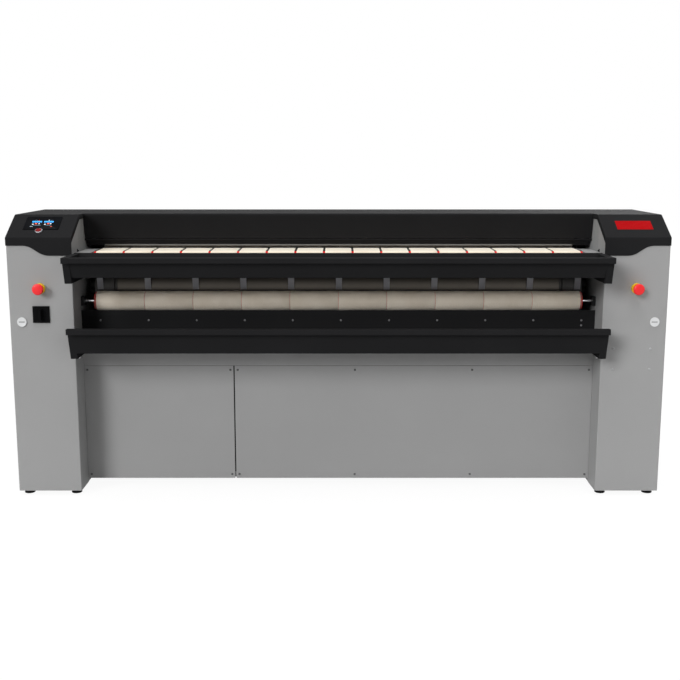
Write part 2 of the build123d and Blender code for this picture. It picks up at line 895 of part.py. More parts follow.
def hull_loop(circles, layer):
    """Face of the convex loop that runs a layer's height above the pulleys."""
    with BuildSketch(side) as loop:
        for centre, radius in circles:
            with Locations(centre):
                Circle(radius + layer)
        make_hull()
    return loop.sketch_local


feed_rollers = ((feed_roller_centre, feed_roller_radius), (nose_roller_centre, nose_roller_radius))
with BuildPart() as feed_belts:
    with BuildSketch(side.offset(-feed_belt_half_width)):
        add(hull_loop(feed_rollers, soft_gap + feed_belt_thickness))
        add(hull_loop(feed_rollers, soft_gap), mode=Mode.SUBTRACT)
    extrude(amount=2 * feed_belt_half_width)
save("feed_belts", feed_belts.part)

feed_half_length = feed_bracket_x - 8
feed_shaft_end = feed_bracket_x + 12
pulley_from = drive_x - pulley_width / 2
pulley_to = drive_x + pulley_width / 2
with BuildPart() as feed_roller:
    add(
        roller(
            feed_roller_centre,
            feed_roller_radius,
            feed_half_length,
            feed_shaft_radius,
            -feed_shaft_end,
            pulley_from,
        )
    )
    with BuildSketch(side.offset(pulley_from)):
        with Locations(feed_roller_centre):
            Rectangle(feed_drive_square, feed_drive_square)
    extrude(amount=pulley_width)
save("feed_roller", feed_roller.part)

save(
    "nose_roller",
    roller(
        nose_roller_centre,
        nose_roller_radius,
        feed_half_length,
        nose_shaft_radius,
        -feed_shaft_end,
        feed_shaft_end,
    ),
)

feed_bracket_back = 250.0
feed_bracket_outer = inner_x - soft_gap
bracket_middle = (feed_bracket_x + feed_bracket_outer) / 2
bracket_width = feed_bracket_outer - feed_bracket_x
bracket_mid_height = (feed_bracket_top + feed_bracket_low) / 2
bracket_height = feed_bracket_top - feed_bracket_low
with BuildPart() as feed_brackets:
    with BuildSketch(front.offset(-feed_bracket_back)):
        with Locations((bracket_middle, bracket_mid_height)):
            Rectangle(bracket_width, bracket_height)
        with Locations((bracket_middle, bracket_mid_height - bracket_sheet)):
            Rectangle(bracket_width - 2 * bracket_sheet, bracket_height, mode=Mode.SUBTRACT)
    extrude(amount=feed_bracket_back - 64)
    with BuildSketch(side.offset(feed_bracket_x)):
        with Locations(feed_roller_centre):
            Circle(feed_shaft_radius + running_gap)
        with Locations(nose_roller_centre):
            Circle(nose_shaft_radius + running_gap)
    extrude(amount=bracket_sheet, mode=Mode.SUBTRACT)
    with BuildSketch(side.offset(feed_bracket_outer - bracket_sheet)):
        with Locations(feed_roller_centre):
            Rectangle(feed_shaft_opening, feed_shaft_opening)
    extrude(amount=bracket_sheet, mode=Mode.SUBTRACT)
    # Lower rear corner cut away to clear the heated roll
    clear_front = 188.0
    clear_high = 945.0
    add(
        side_prism(
            [
                (clear_front, feed_bracket_low),
                (feed_bracket_back, clear_high),
                (feed_bracket_back, feed_bracket_low),
            ],
            feed_bracket_x,
            feed_bracket_outer,
        ),
        mode=Mode.SUBTRACT,
    )
    mirror(about=Plane.YZ)
save("feed_brackets", feed_brackets.part)

bed_roller_gap = 3.0
bed_nose_gap = 7.0
bed_front = feed_roller_centre[0] + feed_roller_radius + bed_roller_gap
bed_back = nose_roller_centre[0] - nose_roller_radius - bed_nose_gap
bed_low = nose_roller_centre[1] - 1
bed_top = feed_roller_centre[1] + feed_roller_radius - 0.5
feed_bed = bent_sheet(
    [(bed_front, bed_low), (bed_front, bed_top - 1), (bed_back, bed_top - 1), (bed_back, bed_low)],
    cover_sheet,
    -feed_bracket_x + soft_gap,
    feed_bracket_x - soft_gap,
    radius=0,
)
save("feed_bed", feed_bed)

# ---------------------------------------------------------------- stripper and finger guard
bar_back = 168.0
bar_low = 880.0
with BuildPart() as stripper_bar:
    with BuildSketch(side.offset(-frame_x + seat_gap)):
        with Locations((bar_back - stripper_bar_size / 2, bar_low + stripper_bar_size / 2)):
            Rectangle(stripper_bar_size, stripper_bar_size)
    extrude(amount=2 * (frame_x - seat_gap))
save("stripper_bar", stripper_bar.part)

finger_straight = 30.0
finger_bend = 20.0
finger_mid = bar_back + soft_gap + finger_sheet / 2
finger_tip = around(roll_centre, roll_radius + soft_gap + finger_sheet / 2, 181)
with BuildPart() as stripper_fingers:
    for index in range(finger_count):
        finger_x = (index - (finger_count - 1) / 2) * finger_pitch + 2.5
        add(
            bent_sheet(
                [
                    (finger_mid, bar_low + stripper_bar_size - 2),
                    (finger_mid, bar_low - finger_straight),
                    (finger_mid + 3.1, bar_low - finger_straight - finger_bend),
                    finger_tip,
                ],
                finger_sheet,
                finger_x - finger_width / 2,
                finger_x + finger_width / 2,
                radius=0,
            )
        )
save("stripper_fingers", stripper_fingers.part)

guard_half_width = frame_x - 8
with BuildPart() as finger_guard:
    add(
        side_prism(
            [
                (guard_axis[0] - 3, guard_axis[1] + 1.5),
                (guard_axis[0] - 1, guard_axis[1] + 3),
                (guard_axis[0] + guard_reach + 2.2, guard_axis[1] - guard_drop + 1.8),
                (guard_axis[0] + guard_reach, guard_axis[1] - guard_drop),
            ],
            -guard_half_width,
            guard_half_width,
        )
    )
    add(side_tube(guard_axis, guard_pin_radius, 0, -frame_back_x, frame_back_x))
save("finger_guard", finger_guard.part)

# ---------------------------------------------------------------- drive in the right column
roll_pulley_radius = roll_pulley_teeth * belt_tooth_pitch / (2 * pi)
feed_pulley_radius = feed_pulley_teeth * belt_tooth_pitch / (2 * pi)
motor_pulley_radius = motor_pulley_teeth * belt_tooth_pitch / (2 * pi)
gearbox_from = pulley_to + 8
gearbox_depth = 120.0
gearbox_height = 140.0
gearbox_length = 80.0
motor_length = 95.0

save("roll_pulley", side_tube(roll_centre, roll_pulley_radius, journal_radius, pulley_from, pulley_to))

# The two small pulleys have one flat for each tooth.
with BuildPart() as feed_pulley:
    with BuildSketch(side.offset(pulley_from)):
        with Locations(feed_roller_centre):
            RegularPolygon(feed_pulley_radius, feed_pulley_teeth)
            Rectangle(feed_drive_square, feed_drive_square, mode=Mode.SUBTRACT)
    extrude(amount=pulley_width)
save("feed_pulley", feed_pulley.part)

with BuildPart() as motor_pulley:
    with BuildSketch(side.offset(pulley_from)):
        with Locations(motor_pulley_centre):
            RegularPolygon(motor_pulley_radius, motor_pulley_teeth)
    extrude(amount=pulley_width)
    with BuildSketch(side.offset(pulley_to)):
        with Locations(motor_pulley_centre):
            RegularPolygon(motor_hub_radius, 12)
    extrude(amount=gearbox_from - soft_gap - pulley_to)
save("motor_pulley", motor_pulley.part)

pulleys = (
    (roll_centre, roll_pulley_radius),
    (feed_roller_centre, feed_pulley_radius),
    (motor_pulley_centre, motor_pulley_radius),
)
with BuildPart() as drive_belt:
    with BuildSketch(side.offset(drive_x - drive_belt_width / 2)):
        add(hull_loop(pulleys, soft_gap + drive_belt_thickness))
        add(hull_loop(pulleys, soft_gap), mode=Mode.SUBTRACT)
    extrude(amount=drive_belt_width)
save("drive_belt", drive_belt.part)

# Gearmotor on two rails of the side frame, above and below its pulley
rail_height = 16.0
rail_depth = 80.0
with BuildPart() as gearmotor:
    with BuildSketch(side.offset(gearbox_from)):
        with Locations(motor_pulley_centre):
            Rectangle(gearbox_depth, gearbox_height)
    extrude(amount=gearbox_length)
    with BuildSketch(side.offset(frame_back_x)):
        with Locations(motor_pulley_centre):
            with GridLocations(0, gearbox_height - rail_height, 1, 2):
                Rectangle(rail_depth, rail_height)
    extrude(amount=gearbox_from - frame_back_x)
    with BuildSketch(side.offset(gearbox_from + gearbox_length)):
        with Locations(motor_pulley_centre):
            RegularPolygon(motor_radius, 12)
    extrude(amount=motor_length)
save("gearmotor", gearmotor.part)

# ---------------------------------------------------------------- exhaust fan under the roll
outlet_low = scroll_centre[1] - scroll_end_radius
outlet_high = outlet_low + fan_width


def scroll_section(inset):
    """Face of the growing scroll, folded in flats, with its straight outlet to the rear cover."""
    outlet_depth = frame_rear_depth + inset
    growth = (scroll_end_radius - scroll_start_radius) / scroll_flats
    turn = (270 - tongue_angle) / scroll_flats
    rim = [
        around(scroll_centre, scroll_start_radius + growth * step - inset, tongue_angle + turn * step)
        for step in range(scroll_flats + 1)
    ]
    with BuildSketch(side) as section:
        with BuildLine():
            Polyline(
                *rim,
                (outlet_depth, outlet_low + inset),
                (outlet_depth, outlet_high - inset),
                (rim[0][0], outlet_high - inset),
                close=True,
            )
        make_face()
    return section.sketch_local


fan_from = fan_x - fan_width / 2
fan_to = fan_x + fan_width / 2
stand_low = 60.3
stand_sheet = 3.0
with BuildPart() as fan_housing:
    with BuildSketch(side.offset(fan_from)):
        add(scroll_section(0))
    extrude(amount=fan_width)
    with BuildSketch(side.offset(fan_from + cover_sheet)):
        add(scroll_section(cover_sheet))
    extrude(amount=fan_width - 2 * cover_sheet, mode=Mode.SUBTRACT)
    with BuildSketch(side.offset(fan_from)):
        with Locations(scroll_centre):
            Circle(impeller_inlet_radius)
    extrude(amount=cover_sheet, mode=Mode.SUBTRACT)
    with BuildSketch(side.offset(fan_to - cover_sheet)):
        with Locations(scroll_centre):
            RegularPolygon(fan_hub_radius + 3, 12)
    extrude(amount=cover_sheet, mode=Mode.SUBTRACT)
    # Stand on the two base tubes
    for web_from in (fan_from, fan_to - cover_sheet):
        add(side_prism([(250, 60.3), (540, 60.3), (540, 100), (270, 112)], web_from, web_from + cover_sheet))
    with BuildSketch(plan.offset(stand_low)):
        with Locations((fan_x, 335)):
            Rectangle(fan_width, 430)
    extrude(amount=stand_sheet)
save("fan_housing", fan_housing.part)

impeller_disc_x = fan_to - 20
impeller_disc_sheet = 3.0
with BuildPart() as fan_impeller:
    with BuildSketch(side.offset(impeller_disc_x)):
        with Locations(scroll_centre):
            RegularPolygon(impeller_radius, 3 * blade_count)
    extrude(amount=impeller_disc_sheet)
    with BuildSketch(side.offset(fan_from + 25)):
        with Locations(scroll_centre):
            with PolarLocations(impeller_radius - 25, blade_count):
                Rectangle(48, 3, rotation=35)
    extrude(amount=impeller_disc_x - fan_from - 25)
    with BuildSketch(side.offset(impeller_disc_x - 40)):
        with Locations(scroll_centre):
            RegularPolygon(fan_hub_radius, 12)
    extrude(amount=fan_to - soft_gap - impeller_disc_x + 40)
save("fan_impeller", fan_impeller.part)

fan_flange = 150.0
fan_flange_sheet = 10.0
fan_motor_length = 140.0
with BuildPart() as fan_motor:
    with BuildSketch(side.offset(fan_to)):
        with Locations(scroll_centre):
            Rectangle(fan_flange, fan_flange)
    extrude(amount=fan_flange_sheet)
    with BuildSketch(side.offset(fan_to + fan_flange_sheet)):
        with Locations(scroll_centre):
            RegularPolygon(fan_motor_radius, 12)
    extrude(amount=fan_motor_length)
save("fan_motor", fan_motor.part)

# ---------------------------------------------------------------- controls
# Emergency stop: the hexagonal plunger slides in its collar and the mushroom head turns on its front end.
with BuildPart() as estop_collars:
    with BuildSketch(front):
        with Locations((estop_x, estop_height)):
            Circle(estop_collar_radius)
            RegularPolygon(estop_stem_radius, 6, mode=Mode.SUBTRACT)
    extrude(amount=estop_collar_length)
    mirror(about=Plane.YZ)
save("estop_collars", estop_collars.part)

plunger_back = estop_travel + 0.5
plunger_front = plunger_back + estop_collar_length
for label, place_x in (("left", -estop_x), ("right", estop_x)):
    centre = (place_x, estop_height)
    with BuildPart() as estop_plunger:
        with BuildSketch(front.offset(plunger_back)):
            with Locations(centre):
                RegularPolygon(estop_stem_radius - running_gap, 6)
        extrude(amount=estop_collar_length)
    save(f"{label}_estop_plunger", estop_plunger.part)
    with BuildPart() as estop_head:
        add(front_tube(centre, estop_head_radius, 0, -estop_length, -plunger_front - soft_gap))
        chamfer(estop_head.faces().sort_by(Axis.Y)[0].edges(), length=estop_head_chamfer)
    save(f"{label}_estop_head", estop_head.part)

# Main switch: the handle's spindle turns in the plate.
switch_centre = (-switch_x, switch_height)
with BuildPart() as main_switch_plate:
    with BuildSketch(front):
        with Locations(switch_centre):
            Rectangle(switch_plate_size, switch_plate_size)
    extrude(amount=switch_plate_depth)
    chamfer(main_switch_plate.faces().sort_by(Axis.Y)[0].edges(), length=1)
    with BuildSketch(front):
        with Locations(switch_centre):
            Circle(switch_spindle_radius + running_gap)
    extrude(amount=switch_plate_depth, mode=Mode.SUBTRACT)
save("main_switch_plate", main_switch_plate.part)

handle_back = switch_plate_depth + soft_gap
handle_base = 2.0
with BuildPart() as main_switch_handle:
    with BuildSketch(front.offset(handle_back)):
        with Locations(switch_centre):
            RegularPolygon(20, 12)
    extrude(amount=handle_base)
    with BuildSketch(front.offset(handle_back + handle_base)):
        with Locations(switch_centre):
            Rectangle(9, 44)
    extrude(amount=16)
    chamfer(main_switch_handle.faces().sort_by(Axis.Y)[0].edges(), length=1.5)
    with BuildSketch(front.offset(0.5)):
        with Locations(switch_centre):
            Circle(switch_spindle_radius)
    extrude(amount=handle_back - 0.5)
save("main_switch_handle", main_switch_handle.part)

button_plane = slope_plane(-start_button_x, start_button_up_slope)
with BuildPart() as start_button_bezel:
    with BuildSketch(button_plane):
        Circle(start_bezel_radius)
        Circle(start_button_radius, mode=Mode.SUBTRACT)
    extrude(amount=6)
save("start_button_bezel", start_button_bezel.part)

with BuildPart() as start_button:
    with BuildSketch(button_plane.offset(3.3)):
        Circle(start_button_radius - running_gap)
    extrude(amount=4.7)
save("start_button", start_button.part)

display_middle = slope_length - display_top_margin - display_length / 2
with BuildPart() as control_display:
    with BuildSketch(slope_plane(-switch_x, display_middle)):
        Rectangle(display_width, display_length)
        with Locations((switch_x - start_button_x, start_button_up_slope - display_middle)):
            Circle(start_bezel_radius + soft_gap, mode=Mode.SUBTRACT)
    extrude(amount=2)
save("control_display", control_display.part)

with BuildPart() as right_column_lock:
    lock_centre = (lock_x, lock_height)
    add(front_tube(lock_centre, lock_radius, 0, -4.2, -0.2))
    add(front_tube(lock_centre, lock_neck_radius, 0, -seat_gap, 6))
    with BuildSketch(front.offset(4.2)):
        with Locations(lock_centre):
            Rectangle(24, 3)
    extrude(amount=-1.5, mode=Mode.SUBTRACT)
    with BuildSketch(front.offset(-6)):
        with Locations((lock_x, lock_height - 16)):
            Rectangle(12, 40)
    extrude(amount=3)
save("right_column_lock", right_column_lock.part)

with BuildPart() as left_column_lock:
    mirror(right_column_lock.part, about=Plane.YZ)
save("left_column_lock", left_column_lock.part)

with BuildPart() as cable_gland:
    gland_centre = (-estop_x, gland_height)
    with BuildSketch(front.offset(-column_depth + 8)):
        with Locations(gland_centre):
            RegularPolygon(gland_body_radius, 6)
    extrude(amount=-34)
    with BuildSketch(front.offset(-column_depth - 12)):
        with Locations(gland_centre):
            RegularPolygon(gland_body_radius + 5, 6)
    extrude(amount=12)
    with BuildSketch(front.offset(-column_depth + 8)):
        with Locations(gland_centre):
            Circle(cable_entry_radius)
    extrude(amount=-34, mode=Mode.SUBTRACT)
save("cable_gland", cable_gland.part)
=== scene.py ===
"""Looks of the flatwork ironer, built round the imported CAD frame.

The scene is in metres, +X to the operator's right, +Y to the back, +Z up. Profiles and plates are typed in
millimetres, and so are places, which at() reads across, behind the column fronts and above their base."""

import json
from math import acos, atan2, cos, hypot, pi, radians, sin

import bpy
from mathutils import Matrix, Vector


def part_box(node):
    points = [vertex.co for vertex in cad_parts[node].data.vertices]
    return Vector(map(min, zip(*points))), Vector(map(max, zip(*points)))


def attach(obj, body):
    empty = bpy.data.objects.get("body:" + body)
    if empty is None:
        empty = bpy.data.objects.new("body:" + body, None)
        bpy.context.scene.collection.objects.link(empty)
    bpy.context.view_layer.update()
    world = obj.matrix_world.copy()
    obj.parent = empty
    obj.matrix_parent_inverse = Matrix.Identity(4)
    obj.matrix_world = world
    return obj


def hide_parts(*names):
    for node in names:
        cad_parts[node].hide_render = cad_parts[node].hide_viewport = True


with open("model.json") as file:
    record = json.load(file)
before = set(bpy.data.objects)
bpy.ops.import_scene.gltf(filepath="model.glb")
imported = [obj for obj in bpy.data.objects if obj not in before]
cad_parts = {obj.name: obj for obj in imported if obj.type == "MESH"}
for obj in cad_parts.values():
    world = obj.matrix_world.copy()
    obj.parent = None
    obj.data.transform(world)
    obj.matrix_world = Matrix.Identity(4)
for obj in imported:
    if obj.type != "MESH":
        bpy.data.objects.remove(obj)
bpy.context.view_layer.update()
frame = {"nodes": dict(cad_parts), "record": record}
NODES = frame["nodes"]
SLOT_OF = {part["node"]: part["material_slot"] for part in frame["record"]["subparts"]}
FRONT_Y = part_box("left_column_casing")[0].y
BASE_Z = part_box("left_column_casing")[0].z
ACROSS = Vector((1, 0, 0))
OUT = Vector((0, -1, 0))
BACK = Vector((0, 1, 0))
UP = Vector((0, 0, 1))


def at(x, depth, height):
    """Point in metres from millimetres across, behind the column fronts and above their base."""
    return Vector((x / 1000, FRONT_Y + depth / 1000, BASE_Z + height / 1000))


def on_face(x, face_y, height):
    """Point of an upright face at face_y metres, from millimetres across and above the columns' base."""
    return Vector((x / 1000, face_y, BASE_Z + height / 1000))


# ---------------------------------------------------------------- materials
def linear(value):
    """Linear value of an sRGB one from 0 to 255."""
    value /= 255
    return value / 12.92 if value <= 0.04045 else ((value + 0.055) / 1.055) ** 2.4


def rgb(red, green, blue):
    """Linear colour from its sRGB values."""
    return linear(red), linear(green), linear(blue), 1.0


def shade(colour, factor):
    """The colour made lighter or darker."""
    return (*(min(1.0, channel * factor) for channel in colour[:3]), 1.0)


class Finish:
    """A Principled material with the few nodes that the finishes share."""

    def __init__(self, name, rough=0.5, metallic=0.0, specular=0.5):
        self.material = bpy.data.materials.new(name)
        self.material.use_nodes = True
        self.tree = self.material.node_tree
        self.shader = self.tree.nodes["Principled BSDF"]
        self.set(Roughness=rough, Metallic=metallic)
        self.shader.inputs["Specular IOR Level"].default_value = specular

    def set(self, **values):
        """Values of the shader's own sockets, with _ for the spaces in their names."""
        for key, value in values.items():
            self.shader.inputs[key.replace("_", " ")].default_value = value

    def node(self, kind, **values):
        made = self.tree.nodes.new(kind)
        for key, value in values.items():
            setattr(made, key, value)
        return made

    def link(self, source, target):
        self.tree.links.new(source, target)

    def place(self, scale=(1, 1, 1), uv=False):
        """Object coordinates in metres, or the piece's own (across, along) map, scaled."""
        mapping = self.node("ShaderNodeMapping")
        mapping.inputs["Scale"].default_value = scale
        if uv:
            source = self.node("ShaderNodeUVMap", uv_map="along").outputs["UV"]
        else:
            source = self.node("ShaderNodeTexCoord").outputs["Object"]
        self.link(source, mapping.inputs["Vector"])
        return mapping.outputs["Vector"]

    def noise(self, scale, detail=2.0, stretch=(1, 1, 1)):
        """Grey noise over the piece, finer along an axis that is stretched more."""
        texture = self.node("ShaderNodeTexNoise")
        texture.inputs["Scale"].default_value = scale
        texture.inputs["Detail"].default_value = detail
        self.link(self.place(stretch), texture.inputs["Vector"])
        return texture.outputs["Fac"]

    def ramp(self, source, low, high, start=0.3, end=0.7):
        """A grey source turned into a value or colour between two."""
        if isinstance(low, tuple):
            ramp = self.node("ShaderNodeValToRGB")
            ramp.color_ramp.elements[0].position = start
            ramp.color_ramp.elements[0].color = low
            ramp.color_ramp.elements[1].position = end
            ramp.color_ramp.elements[1].color = high
            self.link(source, ramp.inputs["Fac"])
            return ramp.outputs["Color"]
        spread = self.node("ShaderNodeMapRange")
        for key, value in (("From Min", start), ("From Max", end), ("To Min", low), ("To Max", high)):
            spread.inputs[key].default_value = value
        self.link(source, spread.inputs["Value"])
        return spread.outputs["Result"]

    def bump(self, source, distance, strength=1.0, under=None):
        """Normal of a relief as deep as the distance in metres, over another normal where one is given."""
        bump = self.node("ShaderNodeBump")
        bump.inputs["Distance"].default_value = distance
        bump.inputs["Strength"].default_value = strength
        self.link(source, bump.inputs["Height"])
        if under:
            self.link(under, bump.inputs["Normal"])
        return bump.outputs["Normal"]

    def colour(self, source):
        self.link(source, self.shader.inputs["Base Color"])

    def rough(self, source):
        self.link(source, self.shader.inputs["Roughness"])

    def normal(self, source):
        self.link(source, self.shader.inputs["Normal"])


def powder_coat(name, colour, rough, grain, depth, specular=0.5, vary=0.05):
    """Sprayed and baked paint: an even colour with a fine orange-peel grain."""
    finish = Finish(name, rough, specular=specular)
    clouds = finish.noise(3.0, detail=3.0)
    finish.colour(finish.ramp(clouds, shade(colour, 1 - vary), shade(colour, 1 + vary)))
    peel = finish.noise(grain, detail=3.0)
    finish.rough(finish.ramp(peel, rough - 0.06, rough + 0.08))
    finish.normal(finish.bump(peel, depth, strength=0.6))
    return finish.material


def turned_metal(name, colour, rough, pitch, stretch, depth=0.00002, tint=0.12):
    """Metal with fine marks that run round the X axis, or along another by its stretch."""
    finish = Finish(name, rough, metallic=1.0)
    marks = finish.noise(pitch, detail=3.0, stretch=stretch)
    haze = finish.noise(9.0, detail=3.0)
    finish.colour(finish.ramp(haze, shade(colour, 1 - tint), shade(colour, 1 + tint)))
    finish.rough(finish.ramp(marks, rough - 0.05, rough + 0.08))
    finish.normal(finish.bump(marks, depth, strength=0.5))
    return finish.material


def cast_metal(name, colour, rough):
    """Painted cast iron with its sandy grain."""
    finish = Finish(name, rough, metallic=0.3, specular=0.3)
    grit = finish.noise(600.0, detail=4.0)
    finish.colour(finish.ramp(grit, shade(colour, 0.8), shade(colour, 1.2)))
    finish.rough(finish.ramp(grit, rough - 0.05, rough + 0.1))
    finish.normal(finish.bump(grit, 0.0002, strength=0.6))
    return finish.material


def galvanised(name, colour):
    """Hot-dipped sheet with its spangle."""
    finish = Finish(name, 0.42, metallic=1.0)
    spangle = finish.node("ShaderNodeTexVoronoi")
    spangle.inputs["Scale"].default_value = 90.0
    finish.link(finish.place(), spangle.inputs["Vector"])
    grey = finish.node("ShaderNodeRGBToBW")
    finish.link(spangle.outputs["Color"], grey.inputs["Color"])
    value = grey.outputs["Val"]
    finish.colour(finish.ramp(value, shade(colour, 0.82), shade(colour, 1.08), start=0.1, end=0.9))
    finish.rough(finish.ramp(value, 0.36, 0.52, start=0.1, end=0.9))
    finish.normal(finish.bump(value, 0.00003, strength=0.4))
    return finish.material


def woven(name, light, dark, threads_per_metre):
    """Flat woven strap: threads both ways, soft stains, and a fuzzy sheen."""
    finish = Finish(name, 0.85, specular=0.2)
    finish.set(Sheen_Weight=0.5, Sheen_Roughness=0.4)
    threads = []
    for direction in ("X", "Y"):
        wave = finish.node("ShaderNodeTexWave", bands_direction=direction)
        wave.inputs["Scale"].default_value = threads_per_metre
        wave.inputs["Distortion"].default_value = 0.4
        finish.link(finish.place(uv=True), wave.inputs["Vector"])
        threads.append(wave.outputs["Fac"])
    weave = finish.node("ShaderNodeMath", operation="MULTIPLY")
    finish.link(threads[0], weave.inputs[0])
    finish.link(threads[1], weave.inputs[1])
    stains = finish.noise(14.0, detail=5.0)
    tone = finish.ramp(stains, dark, light, start=0.25, end=0.6)
    shadow = finish.node("ShaderNodeMix", data_type="RGBA", blend_type="MULTIPLY")
    shadow.inputs["Factor"].default_value = 0.12
    finish.link(tone, shadow.inputs["A"])
    finish.link(weave.outputs["Value"], shadow.inputs["B"])
    finish.colour(shadow.outputs["Result"])
    fuzz = finish.bump(finish.noise(2500.0, detail=2.0), 0.00008, strength=0.5)
    finish.normal(finish.bump(weave.outputs["Value"], 0.00025, strength=0.7, under=fuzz))
    return finish.material


def moulded(name, colour, rough, specular=0.5, coat=0.0):
    """Moulded plastic or rubber with a faint grain."""
    finish = Finish(name, rough, specular=specular)
    finish.set(Coat_Weight=coat, Coat_Roughness=0.08)
    grain = finish.noise(1500.0, detail=2.0)
    clouds = finish.noise(25.0, detail=3.0)
    finish.colour(finish.ramp(clouds, shade(colour, 0.94), shade(colour, 1.05)))
    finish.rough(finish.ramp(grain, rough - 0.04, rough + 0.06))
    finish.normal(finish.bump(grain, 0.00004, strength=0.4))
    return finish.material


def lit(name, colour, strength):
    """Lit segment of a screen, a little brighter in the middle of its dots."""
    finish = Finish(name, 0.25)
    dots = finish.noise(1800.0, detail=1.0)
    tone = finish.ramp(dots, shade(colour, 0.8), colour)
    finish.colour(tone)
    finish.link(tone, finish.shader.inputs["Emission Color"])
    finish.set(Emission_Strength=strength)
    return finish.material


def screen_glass(name):
    """Dark glass of the display, faintly hazed."""
    finish = Finish(name, 0.3, specular=0.012)
    haze = finish.noise(30.0, detail=3.0)
    finish.colour(finish.ramp(haze, rgb(10, 11, 13), rgb(16, 17, 20)))
    finish.rough(finish.ramp(haze, 0.25, 0.4))
    return finish.material


# Stretches of turned metal's marks: fine along X, so that they run round it, or the same every way
AROUND_X = (260.0, 1.0, 1.0)
EVEN = (1.0, 1.0, 1.0)
MATERIALS = {
    "frame_paint": powder_coat(
        "frame_paint", rgb(146, 147, 147), rough=0.6, grain=800, depth=0.0001, specular=0.15, vary=0.03
    ),
    "grey_paint": powder_coat(
        "grey_paint", rgb(153, 153, 153), rough=0.6, grain=900, depth=0.00008, specular=0.15, vary=0.02
    ),
    "black_paint": powder_coat(
        "black_paint", rgb(34, 34, 35), rough=0.6, grain=1100, depth=0.00012, specular=0.012, vary=0.06
    ),
    "motor_paint": powder_coat("motor_paint", rgb(40, 50, 65), rough=0.42, grain=500, depth=0.0001),
    # The heated roll's dark brownish colour is partly painted reflection of the dark surroundings that the
    # polished steel mirrors
    "polished_steel": turned_metal(
        "polished_steel", rgb(76, 72, 67), rough=0.36, pitch=8.0, stretch=AROUND_X, depth=0.000004, tint=0.05
    ),
    "dark_steel": turned_metal("dark_steel", rgb(62, 61, 60), rough=0.45, pitch=8.0, stretch=AROUND_X),
    "bright_steel": turned_metal("bright_steel", rgb(205, 205, 205), rough=0.22, pitch=8.0, stretch=AROUND_X),
    "pulley_aluminium": turned_metal(
        "pulley_aluminium", rgb(190, 190, 192), rough=0.35, pitch=8.0, stretch=AROUND_X
    ),
    "chrome": turned_metal(
        "chrome", rgb(225, 225, 228), rough=0.14, pitch=40.0, stretch=EVEN, depth=0.000005, tint=0.03
    ),
    "cast_housing": cast_metal("cast_housing", rgb(24, 24, 25), rough=0.55),
    "galvanised": galvanised("galvanised", rgb(196, 199, 201)),
    "band_fabric": woven("band_fabric", rgb(252, 240, 222), rgb(240, 226, 206), threads_per_metre=600.0),
    "belt_fabric": woven("belt_fabric", rgb(255, 244, 222), rgb(246, 232, 208), threads_per_metre=480.0),
    "dark_rubber": moulded("dark_rubber", rgb(20, 20, 20), rough=0.75, specular=0.25),
    "dark_plastic": moulded("dark_plastic", rgb(15, 15, 16), rough=0.6, specular=0.02),
    "red_paint": moulded("red_paint", rgb(228, 20, 14), rough=0.5, specular=0.2),
    "red_plastic": moulded("red_plastic", rgb(236, 30, 36), rough=0.38, specular=0.4, coat=0.1),
    "yellow_plastic": moulded("yellow_plastic", rgb(238, 190, 12), rough=0.4),
    "display_glass": screen_glass("display_glass"),
}


def small_paint(name, colour, rough, specular, vary=0.05, grain=900, depth=0.00004):
    """Paint of a small piece, with a shallower grain than the casings have."""
    return powder_coat(name, colour, rough, grain, depth, specular, vary)


LOCK_FACE = moulded("lock_face", rgb(214, 215, 216), rough=0.5, specular=0.3)
BUTTON_RED = moulded("button_red", rgb(120, 6, 12), rough=0.4, specular=0.1)
SCREW_GREY = small_paint("screw_grey", rgb(96, 96, 97), rough=0.5, specular=0.2)
SCREW_PALE = small_paint("screw_pale", rgb(172, 172, 174), rough=0.45, specular=0.2)
SCREW_DULL = small_paint("screw_dull", rgb(128, 128, 130), rough=0.5, specular=0.2)
FINGER_GREY = small_paint("finger_grey", rgb(165, 165, 170), rough=0.6, specular=0.1, depth=0.00005)
EDGE_STEEL = small_paint("edge_steel", rgb(150, 149, 148), rough=0.45, specular=0.3, vary=0.06)
RING_GREY = small_paint("ring_grey", rgb(150, 140, 132), rough=0.6, specular=0.1)
PLATE_RED = small_paint("plate_red", rgb(160, 12, 16), rough=0.5, specular=0.012, vary=0.04, grain=800)
BUTTON_RING = turned_metal(
    "button_ring", rgb(150, 150, 154), rough=0.38, pitch=40.0, stretch=EVEN, depth=0.000005, tint=0.05
)
SHAFT_STEEL = turned_metal(
    "shaft_steel", rgb(244, 244, 246), rough=0.12, pitch=40.0, stretch=EVEN, depth=0.000002, tint=0.02
)
SCREEN_BLUE = lit("screen_blue", rgb(24, 150, 236), strength=0.75)
SCREEN_WHITE = lit("screen_white", rgb(205, 214, 218), strength=0.6)
SCREEN_ORANGE = lit("screen_orange", rgb(226, 74, 42), strength=0.7)
SCREEN_GREY = lit("screen_grey", rgb(128, 140, 148), strength=0.5)
SCREEN_DIM = lit("screen_dim", rgb(38, 74, 92), strength=0.4)

for node_name, node_object in NODES.items():
    node_object.data.materials.clear()
    node_object.data.materials.append(MATERIALS[SLOT_OF[node_name]])

NODES["stripper_fingers"].data.materials[0] = FINGER_GREY
NODES["delivery_roller_shaft"].data.materials[0] = SHAFT_STEEL
NODES["feed_bed"].data.materials[0] = MATERIALS["dark_steel"]


# ---------------------------------------------------------------- mesh helpers
# Edges that turn by more degrees than SHARP_ANGLE stay sharp. HEXAGON marks a profile's ring as six-sided.
SHARP_ANGLE = 32
HEXAGON = 6


